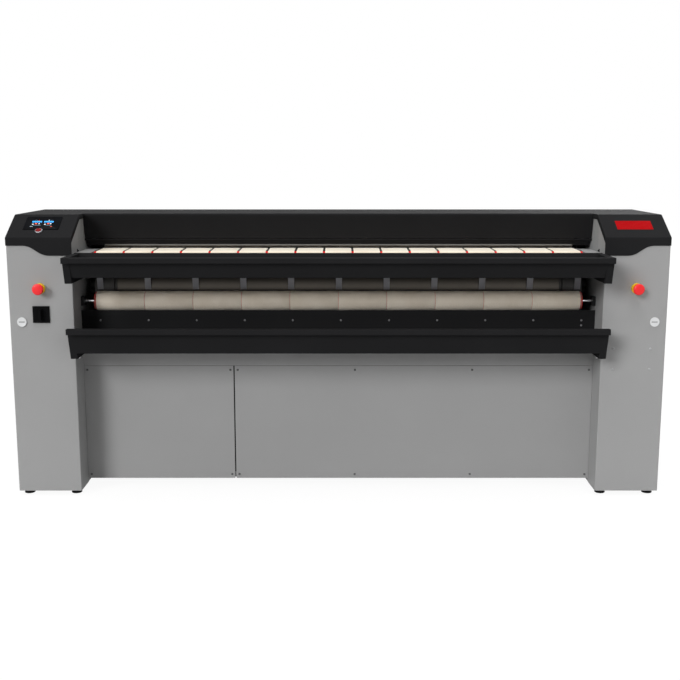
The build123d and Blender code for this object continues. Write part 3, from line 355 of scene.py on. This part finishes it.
def piece(name, lofts, body, slot, replaces=(), material=None, along=None):
    """One object from several (vertices, faces) pairs, riding on a body.

    The material is the slot's own unless another is given. along holds each vertex's (across, along) map."""
    vertices, faces = [], []
    for loft_vertices, loft_faces in lofts:
        first = len(vertices)
        vertices += loft_vertices
        faces += [[first + index for index in face] for face in loft_faces]
    mesh = bpy.data.meshes.new(name)
    mesh.from_pydata([tuple(vertex) for vertex in vertices], [], faces)
    mesh.validate()
    mesh.shade_smooth()
    mesh.set_sharp_from_angle(angle=radians(SHARP_ANGLE))
    if along:
        layer = mesh.uv_layers.new(name="along")
        for loop in mesh.loops:
            layer.data[loop.index].uv = along[loop.vertex_index]
    mesh.materials.append(material or MATERIALS[slot])
    made = bpy.data.objects.new(name, mesh)
    bpy.context.scene.collection.objects.link(made)
    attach(made, body)
    if replaces:
        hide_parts(*replaces)
    return made


def loft(rings, closed=False):
    """Skin over rings with as many points each; a ring of one point ends in a tip."""
    vertices, starts = [], []
    for ring in rings:
        starts.append(len(vertices))
        vertices += ring
    faces = []
    pairs = list(zip(range(len(rings) - 1), range(1, len(rings))))
    if closed:
        pairs.append((len(rings) - 1, 0))
    for one, two in pairs:
        a, b = starts[one], starts[two]
        count = max(len(rings[one]), len(rings[two]))
        for step in range(count):
            after = (step + 1) % count
            if len(rings[one]) == 1:
                faces.append([a, b + after, b + step])
            elif len(rings[two]) == 1:
                faces.append([a + step, a + after, b])
            else:
                faces.append([a + step, a + after, b + after, b + step])
    if not closed:
        if len(rings[0]) > 1:
            faces.append([starts[0] + step for step in reversed(range(len(rings[0])))])
        if len(rings[-1]) > 1:
            faces.append([starts[-1] + step for step in range(len(rings[-1]))])
    return vertices, faces


def basis(axis):
    """Two directions across an axis."""
    axis = axis.normalized()
    first = axis.cross(UP if abs(axis.z) < 0.9 else ACROSS).normalized()
    return first, axis.cross(first)


def turned(centre, axis, profile, segments=96, closed=False):
    """Body turned round an axis. The profile holds (along, radius), or (along, radius, HEXAGON)."""
    axis = axis.normalized()
    first, second = basis(axis)
    rings = []
    for along, radius, *sides in profile:
        middle = centre + axis * (along / 1000)
        if radius == 0:
            rings.append([middle])
            continue
        ring = []
        for step in range(segments):
            angle = 2 * pi * step / segments
            reach = radius
            if sides:
                half = pi / sides[0]
                reach = radius * cos(half) / cos(angle % (2 * half) - half)
            ring.append(middle + (first * cos(angle) + second * sin(angle)) * (reach / 1000))
        rings.append(ring)
    return loft(rings, closed)


def rounded_plate(centre, right, up, width, height, radius, levels, corner_steps=6):
    """Plate with rounded corners. Levels hold (height above the centre, inset of the outline) in mm."""
    out = right.cross(up).normalized()
    rings = []
    for level, inset in levels:
        ring = []
        corner = max(radius - inset, 0.05)
        for quarter, (sign_x, sign_y) in enumerate(((1, 1), (-1, 1), (-1, -1), (1, -1))):
            for step in range(corner_steps + 1):
                angle = pi / 2 * (quarter + step / corner_steps)
                x = sign_x * (width / 2 - inset - corner) + corner * cos(angle)
                y = sign_y * (height / 2 - inset - corner) + corner * sin(angle)
                ring.append(centre + (right * x + up * y + out * level) / 1000)
        rings.append(ring)
    return loft(rings)


def tube_profile(half_length, radius, bore, chamfer):
    """Closed profile of an open tube with chamfered rims."""
    rim = [(half_length, bore), (half_length, radius - chamfer), (half_length - chamfer, radius)]
    return [(-along, reach) for along, reach in rim] + rim[::-1]


def button_screw(centre, axis, radius=5.0, height=2.6):
    """Button-head screw with a hexagon socket, its seat at the centre."""
    return turned(
        centre,
        axis,
        [
            (-0.4, radius * 0.98),
            (0.15 * height, radius),
            (0.5 * height, radius * 0.93),
            (0.82 * height, radius * 0.76),
            (height, radius * 0.58),
            (height, radius * 0.5, HEXAGON),
            (0.35 * height, radius * 0.48, HEXAGON),
        ],
        segments=24,
    )


def hex_bolt(centre, axis, radius=6.0, height=4.5):
    """Hexagon bolt head on its washer."""
    return turned(
        centre,
        axis,
        [
            (-0.4, radius * 1.3),
            (1.0, radius * 1.3),
            (1.2, radius * 1.2),
            (1.2, radius, HEXAGON),
            (height - 0.6, radius, HEXAGON),
            (height, radius * 0.84),
        ],
        segments=24,
    )


def circle_of(node):
    """Centre (y, z) and radius of a body turned round X."""
    low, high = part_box(node)
    return ((low.y + high.y) / 2, (low.z + high.z) / 2), (high.y - low.y) / 2


def middle_of(node):
    """Middle of a node's box."""
    low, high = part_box(node)
    return (low + high) / 2


# ---------------------------------------------------------------- endless bands and belts
def arc(centre, radius, first, last, step=0.06):
    """Points (y, z, normal angle) along an arc between two angles."""
    count = max(2, int(abs(last - first) / step) + 1)
    angles = [first + (last - first) * index / count for index in range(count + 1)]
    return [(centre[0] + radius * cos(a), centre[1] + radius * sin(a), a) for a in angles]


def off_angle(start, start_radius, end, end_radius):
    """Angle where the outer tangent leaves the first of two rollers that turn the same way."""
    run = atan2(end[1] - start[1], end[0] - start[0])
    return run - acos((start_radius - end_radius) / hypot(end[0] - start[0], end[1] - start[1]))


# Longest piece of a straight run in metres, and the most radians that a straight run turns by. A strap's
# edges are rounded over a share of its thickness.
LONGEST_RUN = 0.06
STRAIGHT_TURN = 0.01
EDGE_SHARE = 0.42
CORNER_SHARE = 0.3


def with_runs(points):
    """The path with its straight runs divided, so that texture and shading stay even."""
    full = []
    for index, point in enumerate(points):
        full.append(point)
        after = points[(index + 1) % len(points)]
        length = hypot(after[0] - point[0], after[1] - point[1])
        turn = abs((after[2] - point[2] + pi) % (2 * pi) - pi)
        if length > LONGEST_RUN and turn < STRAIGHT_TURN:
            pieces_of_run = int(length / LONGEST_RUN) + 1
            for part in range(1, pieces_of_run):
                share = part / pieces_of_run
                full.append(
                    (
                        point[0] + (after[0] - point[0]) * share,
                        point[1] + (after[1] - point[1]) * share,
                        point[2],
                    )
                )
    return full


def strap(path, x_from, x_to, thickness, name, body, slot, replaces):
    """Endless strap with soft edges. The path is its inner face, and its normals point outwards."""
    edge = thickness * EDGE_SHARE
    inner = edge * CORNER_SHARE
    section = []
    for x, sign_x, level, sign_n in (
        (x_to, -1, 0.0, 1),
        (x_to, -1, thickness, -1),
        (x_from, 1, thickness, -1),
        (x_from, 1, 0.0, 1),
    ):
        corner = [
            (x + sign_x * edge, level),
            (x + sign_x * inner, level + sign_n * inner),
            (x, level + sign_n * edge),
        ]
        if (sign_x < 0) == (sign_n < 0):
            corner.reverse()
        section.append(corner)
    outline = [point for corner in section for point in corner]
    rings, lengths, run = [], [], 0.0
    for index, (y, z, angle) in enumerate(path):
        if index:
            run += hypot(y - path[index - 1][0], z - path[index - 1][1])
        lengths.append(run)
        rings.append([Vector((x, y + n * cos(angle), z + n * sin(angle))) for x, n in outline])
    vertices, faces = loft(rings, closed=True)
    along = [(x, length) for length in lengths for x, n in outline]
    return piece(name, [(vertices, faces)], body, slot, replaces, along=along)


def strap_row(path, starts, width, thickness, name, slot, node):
    """Straps side by side on one path, each from its left edge, in place of one node."""
    for number, start in enumerate(starts, 1):
        strap(path, start, start + width, thickness, f"{name}_{number:02d}", "frame", slot, (node,))


def turn_on(first, last):
    """The last angle, brought to less than a turn after the first."""
    return first + (last - first) % (2 * pi)


# The ironing bands' path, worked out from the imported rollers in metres: it starts at the delivery roller's
# nip, runs over the tension, rear and upper rollers and comes back round the heated roll
BAND_THICKNESS = 0.0026
SOFT_GAP = 0.0003
roll_centre, roll_radius = circle_of("heated_roll")
delivery_centre, delivery_radius = circle_of("delivery_roller")
upper_centre, return_radius = circle_of("upper_band_roller")
rear_centre, _ = circle_of("rear_band_roller")
tension_centre, _ = circle_of("tension_roller")
upper_nip = atan2(upper_centre[1] - roll_centre[1], upper_centre[0] - roll_centre[0])
delivery_nip = atan2(roll_centre[1] - delivery_centre[1], roll_centre[0] - delivery_centre[0])
ring_radius = delivery_radius + SOFT_GAP
loop_radius = return_radius + SOFT_GAP
roll_side = roll_radius + BAND_THICKNESS + SOFT_GAP
off_delivery = off_angle(delivery_centre, ring_radius, tension_centre, loop_radius)
off_tension = off_angle(tension_centre, loop_radius, rear_centre, loop_radius)
off_rear = off_angle(rear_centre, loop_radius, upper_centre, loop_radius)

band_path = []
first = delivery_nip
for centre, radius, last in (
    (delivery_centre, ring_radius, off_delivery),
    (tension_centre, loop_radius, off_tension),
    (rear_centre, loop_radius, off_rear),
    (upper_centre, loop_radius, upper_nip + pi),
):
    last = turn_on(first, last)
    band_path += arc(centre, radius, first, last)
    first = last
roll_arc = arc(roll_centre, roll_side, upper_nip, delivery_nip - pi, step=0.04)
band_path += [(y, z, angle + pi) for y, z, angle in roll_arc]
band_path = with_runs(band_path)

BAND_COUNT = 10
BAND_PITCH = 0.1961
BAND_GAP = 0.0012
band_starts = [(index - BAND_COUNT / 2) * BAND_PITCH + BAND_GAP / 2 for index in range(BAND_COUNT)]
band_width = BAND_PITCH - BAND_GAP
strap_row(
    band_path, band_starts, band_width, BAND_THICKNESS, "ironing_band", "band_fabric", "ironing_bands"
)

# The feed belts' path, round the nose roller and the feed roller
BELT_THICKNESS = 0.0018
FEED_ROLLER_RADIUS = 0.035
feed_centre, _ = circle_of("feed_roller")
feed_radius = FEED_ROLLER_RADIUS + SOFT_GAP
nose_centre, nose_radius = circle_of("nose_roller")
nose_radius += SOFT_GAP
off_nose = off_angle(nose_centre, nose_radius, feed_centre, feed_radius)
off_feed = off_angle(feed_centre, feed_radius, nose_centre, nose_radius)
belt_path = arc(nose_centre, nose_radius, off_feed, turn_on(off_feed, off_nose), step=0.12)
belt_path += arc(feed_centre, feed_radius, off_nose, turn_on(off_nose, off_feed), step=0.09)
belt_path = with_runs(belt_path)
BELT_COUNT = 17
BELT_GAP = 0.009
BELT_HALF_SPREAD = 0.967
belt_pitch = (2 * BELT_HALF_SPREAD + BELT_GAP) / BELT_COUNT
belt_starts = [index * belt_pitch - BELT_HALF_SPREAD for index in range(BELT_COUNT)]
belt_width = belt_pitch - BELT_GAP
strap_row(belt_path, belt_starts, belt_width, BELT_THICKNESS, "feed_belt", "belt_fabric", "feed_belts")

# ---------------------------------------------------------------- heated roll and delivery roller
TUBE_WALL = 10
TUBE_CHAMFER = 1.2
tube_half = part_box("heated_roll")[1].x * 1000
tube_radius = roll_radius * 1000
tube_bore = tube_radius - TUBE_WALL
roll_tube = tube_profile(tube_half, tube_radius, tube_bore, TUBE_CHAMFER)
roll_middle = Vector((0, *roll_centre))
piece(
    "heated_roll_tube",
    [turned(roll_middle, ACROSS, roll_tube, segments=192, closed=True)],
    "heated_roll",
    "polished_steel",
    ("heated_roll",),
)

# Each end cap has a sleeve inside the tube, a groove against the tube's polished part, the roll's end face
# and the journal
SLEEVE_START = 895
GROOVE_SIDE = 919
ROLL_FACE = 1000
FACE_RING = 150
JOURNAL_RADIUS = 38
JOURNAL_BORE = 24
cap_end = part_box("roll_end_caps")[1].x * 1000
ROLL_END = [
    (SLEEVE_START, JOURNAL_BORE),
    (cap_end, JOURNAL_BORE),
    (cap_end, JOURNAL_RADIUS - 1),
    (cap_end - 1, JOURNAL_RADIUS),
    (ROLL_FACE + 3, JOURNAL_RADIUS),
    (ROLL_FACE, JOURNAL_RADIUS + 3),
    (ROLL_FACE, FACE_RING),
    (ROLL_FACE, tube_radius - 2),
    (ROLL_FACE - 2, tube_radius),
    (GROOVE_SIDE + 1.5, tube_radius),
    (GROOVE_SIDE, tube_radius - 1.5),
    (GROOVE_SIDE, tube_bore),
    (SLEEVE_START, tube_bore),
]
for side, sign in (("left", -1), ("right", 1)):
    piece(
        f"{side}_roll_end",
        [turned(roll_middle, ACROSS * sign, ROLL_END, segments=160, closed=True)],
        "heated_roll",
        "dark_steel",
        ("roll_end_caps",),
    )

# Delivery roller: a red-coated tube with a thin pale ring near each end, and steel end discs
COATING_HALF_LENGTH = 988.5
COATING_RADIUS = 36.5
COATING_BORE = 30
COATING_CHAMFER = 1.1
END_DISC = [
    (980, 0),
    (980, COATING_BORE),
    (986.5, COATING_BORE),
    (987, 29.4),
    (987, 12),
    (990, 10.5),
    (990, 0),
]
PALE_RING = [
    (983.2, 35),
    (983.2, COATING_RADIUS),
    (983.4, 36.75),
    (985.8, 36.75),
    (986, COATING_RADIUS),
    (986, 35),
]
coating = tube_profile(COATING_HALF_LENGTH, COATING_RADIUS, COATING_BORE, COATING_CHAMFER)
delivery_middle = Vector((0, *delivery_centre))
piece(
    "delivery_roller_coating",
    [turned(delivery_middle, ACROSS, coating, segments=128, closed=True)],
    "delivery_roller",
    "red_paint",
    ("delivery_roller",),
)
piece(
    "delivery_roller_discs",
    [turned(delivery_middle, ACROSS * sign, END_DISC) for sign in (-1, 1)],
    "delivery_roller",
    "bright_steel",
)
piece(
    "delivery_roller_rings",
    [turned(delivery_middle, ACROSS * sign, PALE_RING, segments=128, closed=True) for sign in (-1, 1)],
    "delivery_roller",
    "bright_steel",
    material=RING_GREY,
)

# ---------------------------------------------------------------- controls
MUSHROOM_HEAD = [
    (0, 11),
    (0, 15.5),
    (1.2, 16.6),
    (6.0, 17.4),
    (9.0, 20.2),
    (10.6, 21.6),
    (12.2, 22),
    (15.2, 22),
    (17.8, 21.3),
    (19.6, 19.6),
    (20.7, 16.5),
    (21.4, 10),
    (21.7, 0),
]
# Each lock gets a dark bar on its slot's floor: painted shade of the recess, not a part of its own
LOCK_SLOT_DEPTH = -2.7
LOCK_SLOT_HEIGHT = 695
LOCK_SLOT_LEVELS = [(-0.2, 0), (0.1, 0), (0.2, 0.1)]
LOCK_SLOT_LENGTH = 23.4
LOCK_SLOT_WIDTH = 2.8
LOCK_SLOT_CORNER = 0.3
for side in ("left", "right"):
    low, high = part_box(f"{side}_estop_head")
    seat = Vector(((low.x + high.x) / 2, high.y, (low.z + high.z) / 2))
    piece(
        f"{side}_mushroom_head",
        [turned(seat, OUT, MUSHROOM_HEAD)],
        f"{side}_estop_head",
        "red_plastic",
        (f"{side}_estop_head",),
    )
    NODES[f"{side}_column_lock"].data.materials[0] = LOCK_FACE
    slot_floor = at(0, LOCK_SLOT_DEPTH, LOCK_SLOT_HEIGHT)
    slot_floor.x = middle_of(f"{side}_column_lock").x
    slot_shade_plate = rounded_plate(
        slot_floor,
        ACROSS,
        UP,
        LOCK_SLOT_LENGTH,
        LOCK_SLOT_WIDTH,
        LOCK_SLOT_CORNER,
        LOCK_SLOT_LEVELS,
        corner_steps=3,
    )
    piece(f"{side}_lock_slot_shade", [slot_shade_plate], f"{side}_column_lock", "dark_plastic")

# Directions up and off the caps' sloped face. The ring, the button and the display are placed from the
# middles of their nodes' boxes, by these lengths in metres down or up from the face.
slope_up = Vector((0, 0.86514, 0.50153))
slope_out = Vector((0, -0.50153, 0.86514))
BEZEL_SEAT = 0.00295
BUTTON_SEAT = 0.00225
DISPLAY_RISE = 0.001
BUTTON_BEZEL = [(0, 11.3), (0, 15), (2.0, 15), (4.4, 14.6), (5.6, 13.4), (5.9, 12.4), (5.0, 11.3)]
BUTTON_CAP = [(0, 11), (3.2, 11), (4.1, 10.4), (4.4, 9.2), (4.0, 6.0), (3.9, 0)]
bezel_seat = middle_of("start_button_bezel") - slope_out * BEZEL_SEAT
piece(
    "start_bezel",
    [turned(bezel_seat, slope_out, BUTTON_BEZEL, closed=True)],
    "frame",
    "chrome",
    ("start_button_bezel",),
    BUTTON_RING,
)
button_seat = middle_of("start_button") - slope_out * BUTTON_SEAT
piece(
    "start_push",
    [turned(button_seat, slope_out, BUTTON_CAP)],
    "start_button",
    "red_plastic",
    ("start_button",),
    BUTTON_RED,
)

DISPLAY_LEVELS = [(-0.6, 0), (0.4, 0), (0.8, 0.5), (0.8, 3), (0.5, 3.4)]
MARK_LEVELS = [(0.3, 0), (0.85, 0), (0.95, 0.2)]
PLATE_LEVELS = [(-0.2, 0), (0.7, 0), (1.0, 0.3)]
display_face = middle_of("control_display") + slope_out * DISPLAY_RISE
piece(
    "display_bezel",
    [rounded_plate(display_face, ACROSS, slope_up, width=139, height=88, radius=3, levels=DISPLAY_LEVELS)],
    "frame",
    "display_glass",
)

# Marks on the display: (across, up the slope) from its middle, width and height
SCREEN = {
    "screen_bars": (SCREEN_BLUE, [(-23.5, 8, 38.5, 9.5), (23, 8, 38, 9.5)]),
    "screen_marks_white": (
        SCREEN_WHITE,
        [(-37, -10, 6, 6), (-13, -6, 5, 6), (11, -10, 6, 6), (33, -6, 6, 6), (22, 18, 3, 6)],
    ),
    "screen_marks_orange": (
        SCREEN_ORANGE,
        [(-25, -6, 9, 7), (23, -6, 9, 7), (38, -26, 5, 4), (-18, 18, 4, 3)],
    ),
    "screen_marks_grey": (SCREEN_GREY, [(-40, -25, 11, 5)]),
    "screen_marks_dim": (
        SCREEN_DIM,
        [(-20, -17, 30, 5), (26, -17, 22, 5), (-29, 18, 12, 2.5), (32, 18, 12, 2.5)],
    ),
}
for name, (material, marks) in SCREEN.items():
    plates = []
    for x, y, width, height in marks:
        mark = display_face + (ACROSS * x + slope_up * y) / 1000
        plates.append(
            rounded_plate(mark, ACROSS, slope_up, width, height, radius=1, levels=MARK_LEVELS, corner_steps=3)
        )
    piece(name, plates, "frame", "display_glass", material=material)

# Bare plate on the right cap, up the slope from its lower edge
SLOPE_FOOT = 1030
PLATE_ACROSS = 1170
PLATE_UP_SLOPE = 82
plate = at(PLATE_ACROSS, 0, SLOPE_FOOT) + slope_up * (PLATE_UP_SLOPE / 1000)
piece(
    "bare_plate",
    [rounded_plate(plate, ACROSS, slope_up, width=141, height=60, radius=1.5, levels=PLATE_LEVELS)],
    "frame",
    "red_plastic",
    material=PLATE_RED,
)

# ---------------------------------------------------------------- feet and cable entry
FOOT = [
    (0, 18),
    (0, 19.4),
    (1.2, 21),
    (4.2, 21),
    (6.6, 15),
    (8.0, 10),
    (8.0, 6),
    (10.5, 6),
    (10.5, 10, HEXAGON),
    (16.5, 10, HEXAGON),
    (16.5, 6),
    (20, 6),
]
FOOT_PLACES = (-1268, -1075, 1075, 1268)
FOOT_DEPTHS = (45, 518)
feet = []
for x in FOOT_PLACES:
    for depth in FOOT_DEPTHS:
        foot = at(x, depth, 0)
        foot.z = 0.0
        feet.append(turned(foot, UP, FOOT, segments=48))
piece("levelling_feet_turned", feet, "frame", SLOT_OF["levelling_feet"], ("levelling_feet",))

GLAND = [
    (0, 11),
    (0, 15.5, HEXAGON),
    (5.5, 15.5, HEXAGON),
    (6.5, 13.5),
    (8, 13.5),
    (8, 20.5, HEXAGON),
    (17, 20.5, HEXAGON),
    (18, 17.5),
    (19, 17),
    (19, 20, HEXAGON),
    (28, 19.5, HEXAGON),
    (31, 16.5),
    (33.4, 13.5),
    (34, 12.2),
    (34, 11),
]
gland_low, gland_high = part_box("cable_gland")
gland = Vector(((gland_low.x + gland_high.x) / 2, gland_low.y, (gland_low.z + gland_high.z) / 2))
piece(
    "cable_gland_turned",
    [turned(gland, BACK, GLAND, segments=72, closed=True)],
    "frame",
    SLOT_OF["cable_gland"],
    ("cable_gland",),
)

# ---------------------------------------------------------------- edging and joint strip
# Folded steel edging over the finger guard's lower edge. Its section holds (down the guard, off its middle).
EDGE_HALF_LENGTH = 966
EDGE_DEPTH = 250.1
EDGE_HEIGHT = 978.1
EDGE_SECTION = [
    (-6, 1.6),
    (-6, 2.1),
    (0.6, 2.1),
    (1.0, 1.5),
    (1.0, -1.5),
    (0.6, -2.1),
    (-6, -2.1),
    (-6, -1.6),
]
down_guard = Vector((0, 0.5856, -0.8105))
off_guard = Vector((0, -0.8105, -0.5856))
edging = []
for x in (-EDGE_HALF_LENGTH, EDGE_HALF_LENGTH):
    edge = at(x, EDGE_DEPTH, EDGE_HEIGHT)
    edging.append([edge + (down_guard * along + off_guard * off) / 1000 for along, off in EDGE_SECTION])
piece("guard_edging", [loft(edging)], "finger_guard", "bright_steel", material=EDGE_STEEL)

# Dark strip in the joint of the lower front panels, which ends a little above their lower edge
# The strip is painted shade: a dark sheet that stands in for the shadow inside the gap between the panels
STRIP_END = 28
STRIP_WIDTH = 4.6
STRIP_CORNER = 0.3
STRIP_INSET = 1.2
STRIP_LEVELS = [(-2.0, 0), (0, 0)]
panel_low, panel_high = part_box("left_front_panel")
strip_height = (panel_high.z - panel_low.z) * 1000 - STRIP_END
joint_middle = (panel_high.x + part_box("right_front_panel")[0].x) / 2
strip = Vector((joint_middle, panel_low.y + STRIP_INSET / 1000, panel_high.z - strip_height / 2000))
piece(
    "panel_joint_shade_strip",
    [rounded_plate(strip, ACROSS, UP, STRIP_WIDTH, strip_height, STRIP_CORNER, STRIP_LEVELS, corner_steps=3)],
    "frame",
    "dark_plastic",
)

# ---------------------------------------------------------------- screws
PANEL_SCREW_PLACES = (-1030, -443, -413, 68, 549, 1028)
PANEL_SCREW_HEIGHTS = (477, 33)
panel_screws = [
    button_screw(on_face(x, panel_low.y, height), OUT, radius=4.6)
    for height in PANEL_SCREW_HEIGHTS
    for x in PANEL_SCREW_PLACES
]
piece("panel_screws", panel_screws, "frame", "grey_paint", material=SCREW_GREY)

OUTFEED_FACE = 119.0
OUTFEED_MIDDLE = 11
OUTFEED_PITCH = 195.6
OUTFEED_SCREW_HEIGHT = 683
OUTFEED_LOW_HEIGHT = 662
outfeed_places = [(OUTFEED_MIDDLE + OUTFEED_PITCH * step, OUTFEED_SCREW_HEIGHT) for step in range(-5, 6)]
outfeed_places.append((OUTFEED_MIDDLE + OUTFEED_PITCH * 5, OUTFEED_LOW_HEIGHT))
outfeed_screws = [
    button_screw(at(x, OUTFEED_FACE, height), OUT, radius=4.2, height=2.2) for x, height in outfeed_places
]
piece("outfeed_screws", outfeed_screws, "frame", "bright_steel", material=SCREW_DULL)

COLUMN_SCREW_PLACES = (1093, 1239)
COLUMN_SCREW_HEIGHTS = (587, 504)
column_screws = [
    button_screw(at(x, 0, height), OUT) for x in COLUMN_SCREW_PLACES for height in COLUMN_SCREW_HEIGHTS
]
piece("column_screws", column_screws, "frame", "bright_steel", material=SCREW_PALE)

# On each column's inner wall: a bolt below the lower tray and the clamp beside the feed belts. The walls
# stand WALL_REACH beyond the hood's ends.
WALL_REACH = 2.5
BOLT_DEPTH = 53
BOLT_HEIGHT = 543
CLIP_DEPTH = 98
CLIP_HEIGHT = 968
CLIP_THICKNESS = 3
CLIP_LEVELS = [(-0.3, 0), (2.4, 0), (CLIP_THICKNESS, 0.6)]
wall_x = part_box("hood_cover")[1].x * 1000 + WALL_REACH
wall_bolts = [hex_bolt(at(sign * wall_x, BOLT_DEPTH, BOLT_HEIGHT), -ACROSS * sign) for sign in (-1, 1)]
piece("wall_bolts", wall_bolts, "frame", "bright_steel")

clips = []
for sign in (-1, 1):
    clip = at(sign * wall_x, CLIP_DEPTH, CLIP_HEIGHT)
    clips.append(rounded_plate(clip, BACK * sign, UP, width=16, height=14, radius=2, levels=CLIP_LEVELS))
    clip_face = at(sign * (wall_x - CLIP_THICKNESS), CLIP_DEPTH, CLIP_HEIGHT)
    clips.append(button_screw(clip_face, -ACROSS * sign, radius=3.5))
piece("bed_clips", clips, "frame", "black_paint")

# Screws of the rear plates in rows: (heights, places across). Then those of the caps and the exhaust spigot.
REAR_ROWS = (
    ((24, 62, 250), (-1280, -860, -430, 0, 430, 860, 1280)),
    ((87, 223), (-1280, -1060, -1027, -480, 70, 606, 794, 1280)),
    ((520, 790), (-1280, 1280)),
    ((1070,), (-1020, -680, -340, 0, 340, 680, 1020)),
)
COLUMN_DEPTH = 563
CAP_SCREW_PLACES = (-1280, -1060, 1060, 1280)
CAP_SCREW_HEIGHT = 1050
SPIGOT_ACROSS = 700
SPIGOT_HEIGHT = 155
SPIGOT_SCREW_REACH = 70.5
back_y = at(0, COLUMN_DEPTH, 0).y
cap_back_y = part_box("left_cap")[1].y
rear_screws = [
    button_screw(on_face(x, back_y, height), BACK)
    for heights, places in REAR_ROWS
    for height in heights
    for x in places
]
rear_screws += [button_screw(on_face(x, cap_back_y, CAP_SCREW_HEIGHT), BACK) for x in CAP_SCREW_PLACES]
for sign_x in (-1, 1):
    for sign_z in (-1, 1):
        corner = on_face(
            SPIGOT_ACROSS + sign_x * SPIGOT_SCREW_REACH, back_y, SPIGOT_HEIGHT + sign_z * SPIGOT_SCREW_REACH
        )
        rear_screws.append(button_screw(corner, BACK, radius=4.0))
piece("rear_screws", rear_screws, "frame", "bright_steel", material=SCREW_DULL)

# ---------------------------------------------------------------- camera, light and floor
scene = bpy.context.scene
scene.view_settings.view_transform = "Standard"

# Camera fitted to the photo's edges
camera_data = bpy.data.cameras.new("camera")
camera_data.sensor_width = 36
camera_data.lens = 54.37
camera_data.shift_x = 0.0025
camera_data.clip_end = 100
camera = bpy.data.objects.new("camera", camera_data)
camera.location = (0, -4.2355, 1.351)
camera.rotation_euler = (radians(79.98), 0, 0)
scene.collection.objects.link(camera)
scene.camera = camera

LAMP_DISTANCE = 8


def sun(name, azimuth, elevation, strength, softness):
    """Even light from far off. Azimuth is in degrees from straight in front, positive to the right."""
    data = bpy.data.lights.new(name, "SUN")
    data.energy = strength * pi
    data.angle = radians(softness)
    lamp = bpy.data.objects.new(name, data)
    flat = cos(radians(elevation))
    towards = Vector((flat * sin(radians(azimuth)), -flat * cos(radians(azimuth)), sin(radians(elevation))))
    lamp.rotation_euler = (-towards).to_track_quat("-Z", "Y").to_euler()
    lamp.location = towards * LAMP_DISTANCE
    scene.collection.objects.link(lamp)


sun("key", azimuth=-38, elevation=23, strength=0.64, softness=24)
sun("fill", azimuth=55, elevation=14, strength=0.08, softness=40)
sun("top", azimuth=0, elevation=80, strength=0.62, softness=40)
sun("rear", azimuth=150, elevation=22, strength=0.36, softness=40)


def white_to_view(tree, inputs):
    """1 for rays that see or mirror the background, 0 for rays that light the object."""
    path = tree.nodes.new("ShaderNodeLightPath")
    total = path.outputs["Is Camera Ray"]
    for extra in ("Is Glossy Ray", "Is Transmission Ray"):
        add = tree.nodes.new("ShaderNodeMath")
        add.operation = "MAXIMUM"
        tree.links.new(total, add.inputs[0])
        tree.links.new(path.outputs[extra], add.inputs[1])
        total = add.outputs["Value"]
    for target in inputs:
        tree.links.new(total, target)


WHITE = (1, 1, 1, 1)
WORLD_LIGHT = 0.24
world = bpy.data.worlds.new("studio")
world.use_nodes = True
scene.world = world
tree = world.node_tree
background = tree.nodes["Background"]
background.inputs["Color"].default_value = WHITE
background.inputs["Strength"].default_value = WORLD_LIGHT
seen = tree.nodes.new("ShaderNodeBackground")
seen.inputs["Color"].default_value = WHITE
seen.inputs["Strength"].default_value = 1.0
chooser = tree.nodes.new("ShaderNodeMixShader")
white_to_view(tree, [chooser.inputs["Fac"]])
tree.links.new(background.outputs["Background"], chooser.inputs[1])
tree.links.new(seen.outputs["Background"], chooser.inputs[2])
tree.links.new(chooser.outputs["Shader"], tree.nodes["World Output"].inputs["Surface"])

# The floor glows white to the camera and keeps a little of the object's shadow
FLOOR_HALF = 14
FLOOR_GREY = 0.5
FLOOR_SHINE = 1.1
SHINE_SHARE = 0.85
floor_corners = [
    (-FLOOR_HALF, -FLOOR_HALF, 0),
    (FLOOR_HALF, -FLOOR_HALF, 0),
    (FLOOR_HALF, FLOOR_HALF, 0),
    (-FLOOR_HALF, FLOOR_HALF, 0),
]
floor_mesh = bpy.data.meshes.new("floor")
floor_mesh.from_pydata(floor_corners, [], [(0, 1, 2, 3)])
floor = bpy.data.objects.new("floor", floor_mesh)
scene.collection.objects.link(floor)
floor_finish = Finish("floor_white", 0.8, specular=0.1)
floor_finish.set(Base_Color=(FLOOR_GREY, FLOOR_GREY, FLOOR_GREY, 1))
shine = floor_finish.node("ShaderNodeEmission")
shine.inputs["Color"].default_value = WHITE
shine.inputs["Strength"].default_value = FLOOR_SHINE
floor_mix = floor_finish.node("ShaderNodeMixShader")
level = floor_finish.node("ShaderNodeMath", operation="MULTIPLY")
level.inputs[1].default_value = SHINE_SHARE
white_to_view(floor_finish.tree, [level.inputs[0]])
floor_finish.link(level.outputs["Value"], floor_mix.inputs["Fac"])
floor_finish.link(floor_finish.shader.outputs["BSDF"], floor_mix.inputs[1])
floor_finish.link(shine.outputs["Emission"], floor_mix.inputs[2])
floor_finish.link(floor_mix.outputs["Shader"], floor_finish.tree.nodes["Material Output"].inputs["Surface"])
floor_mesh.materials.append(floor_finish.material)
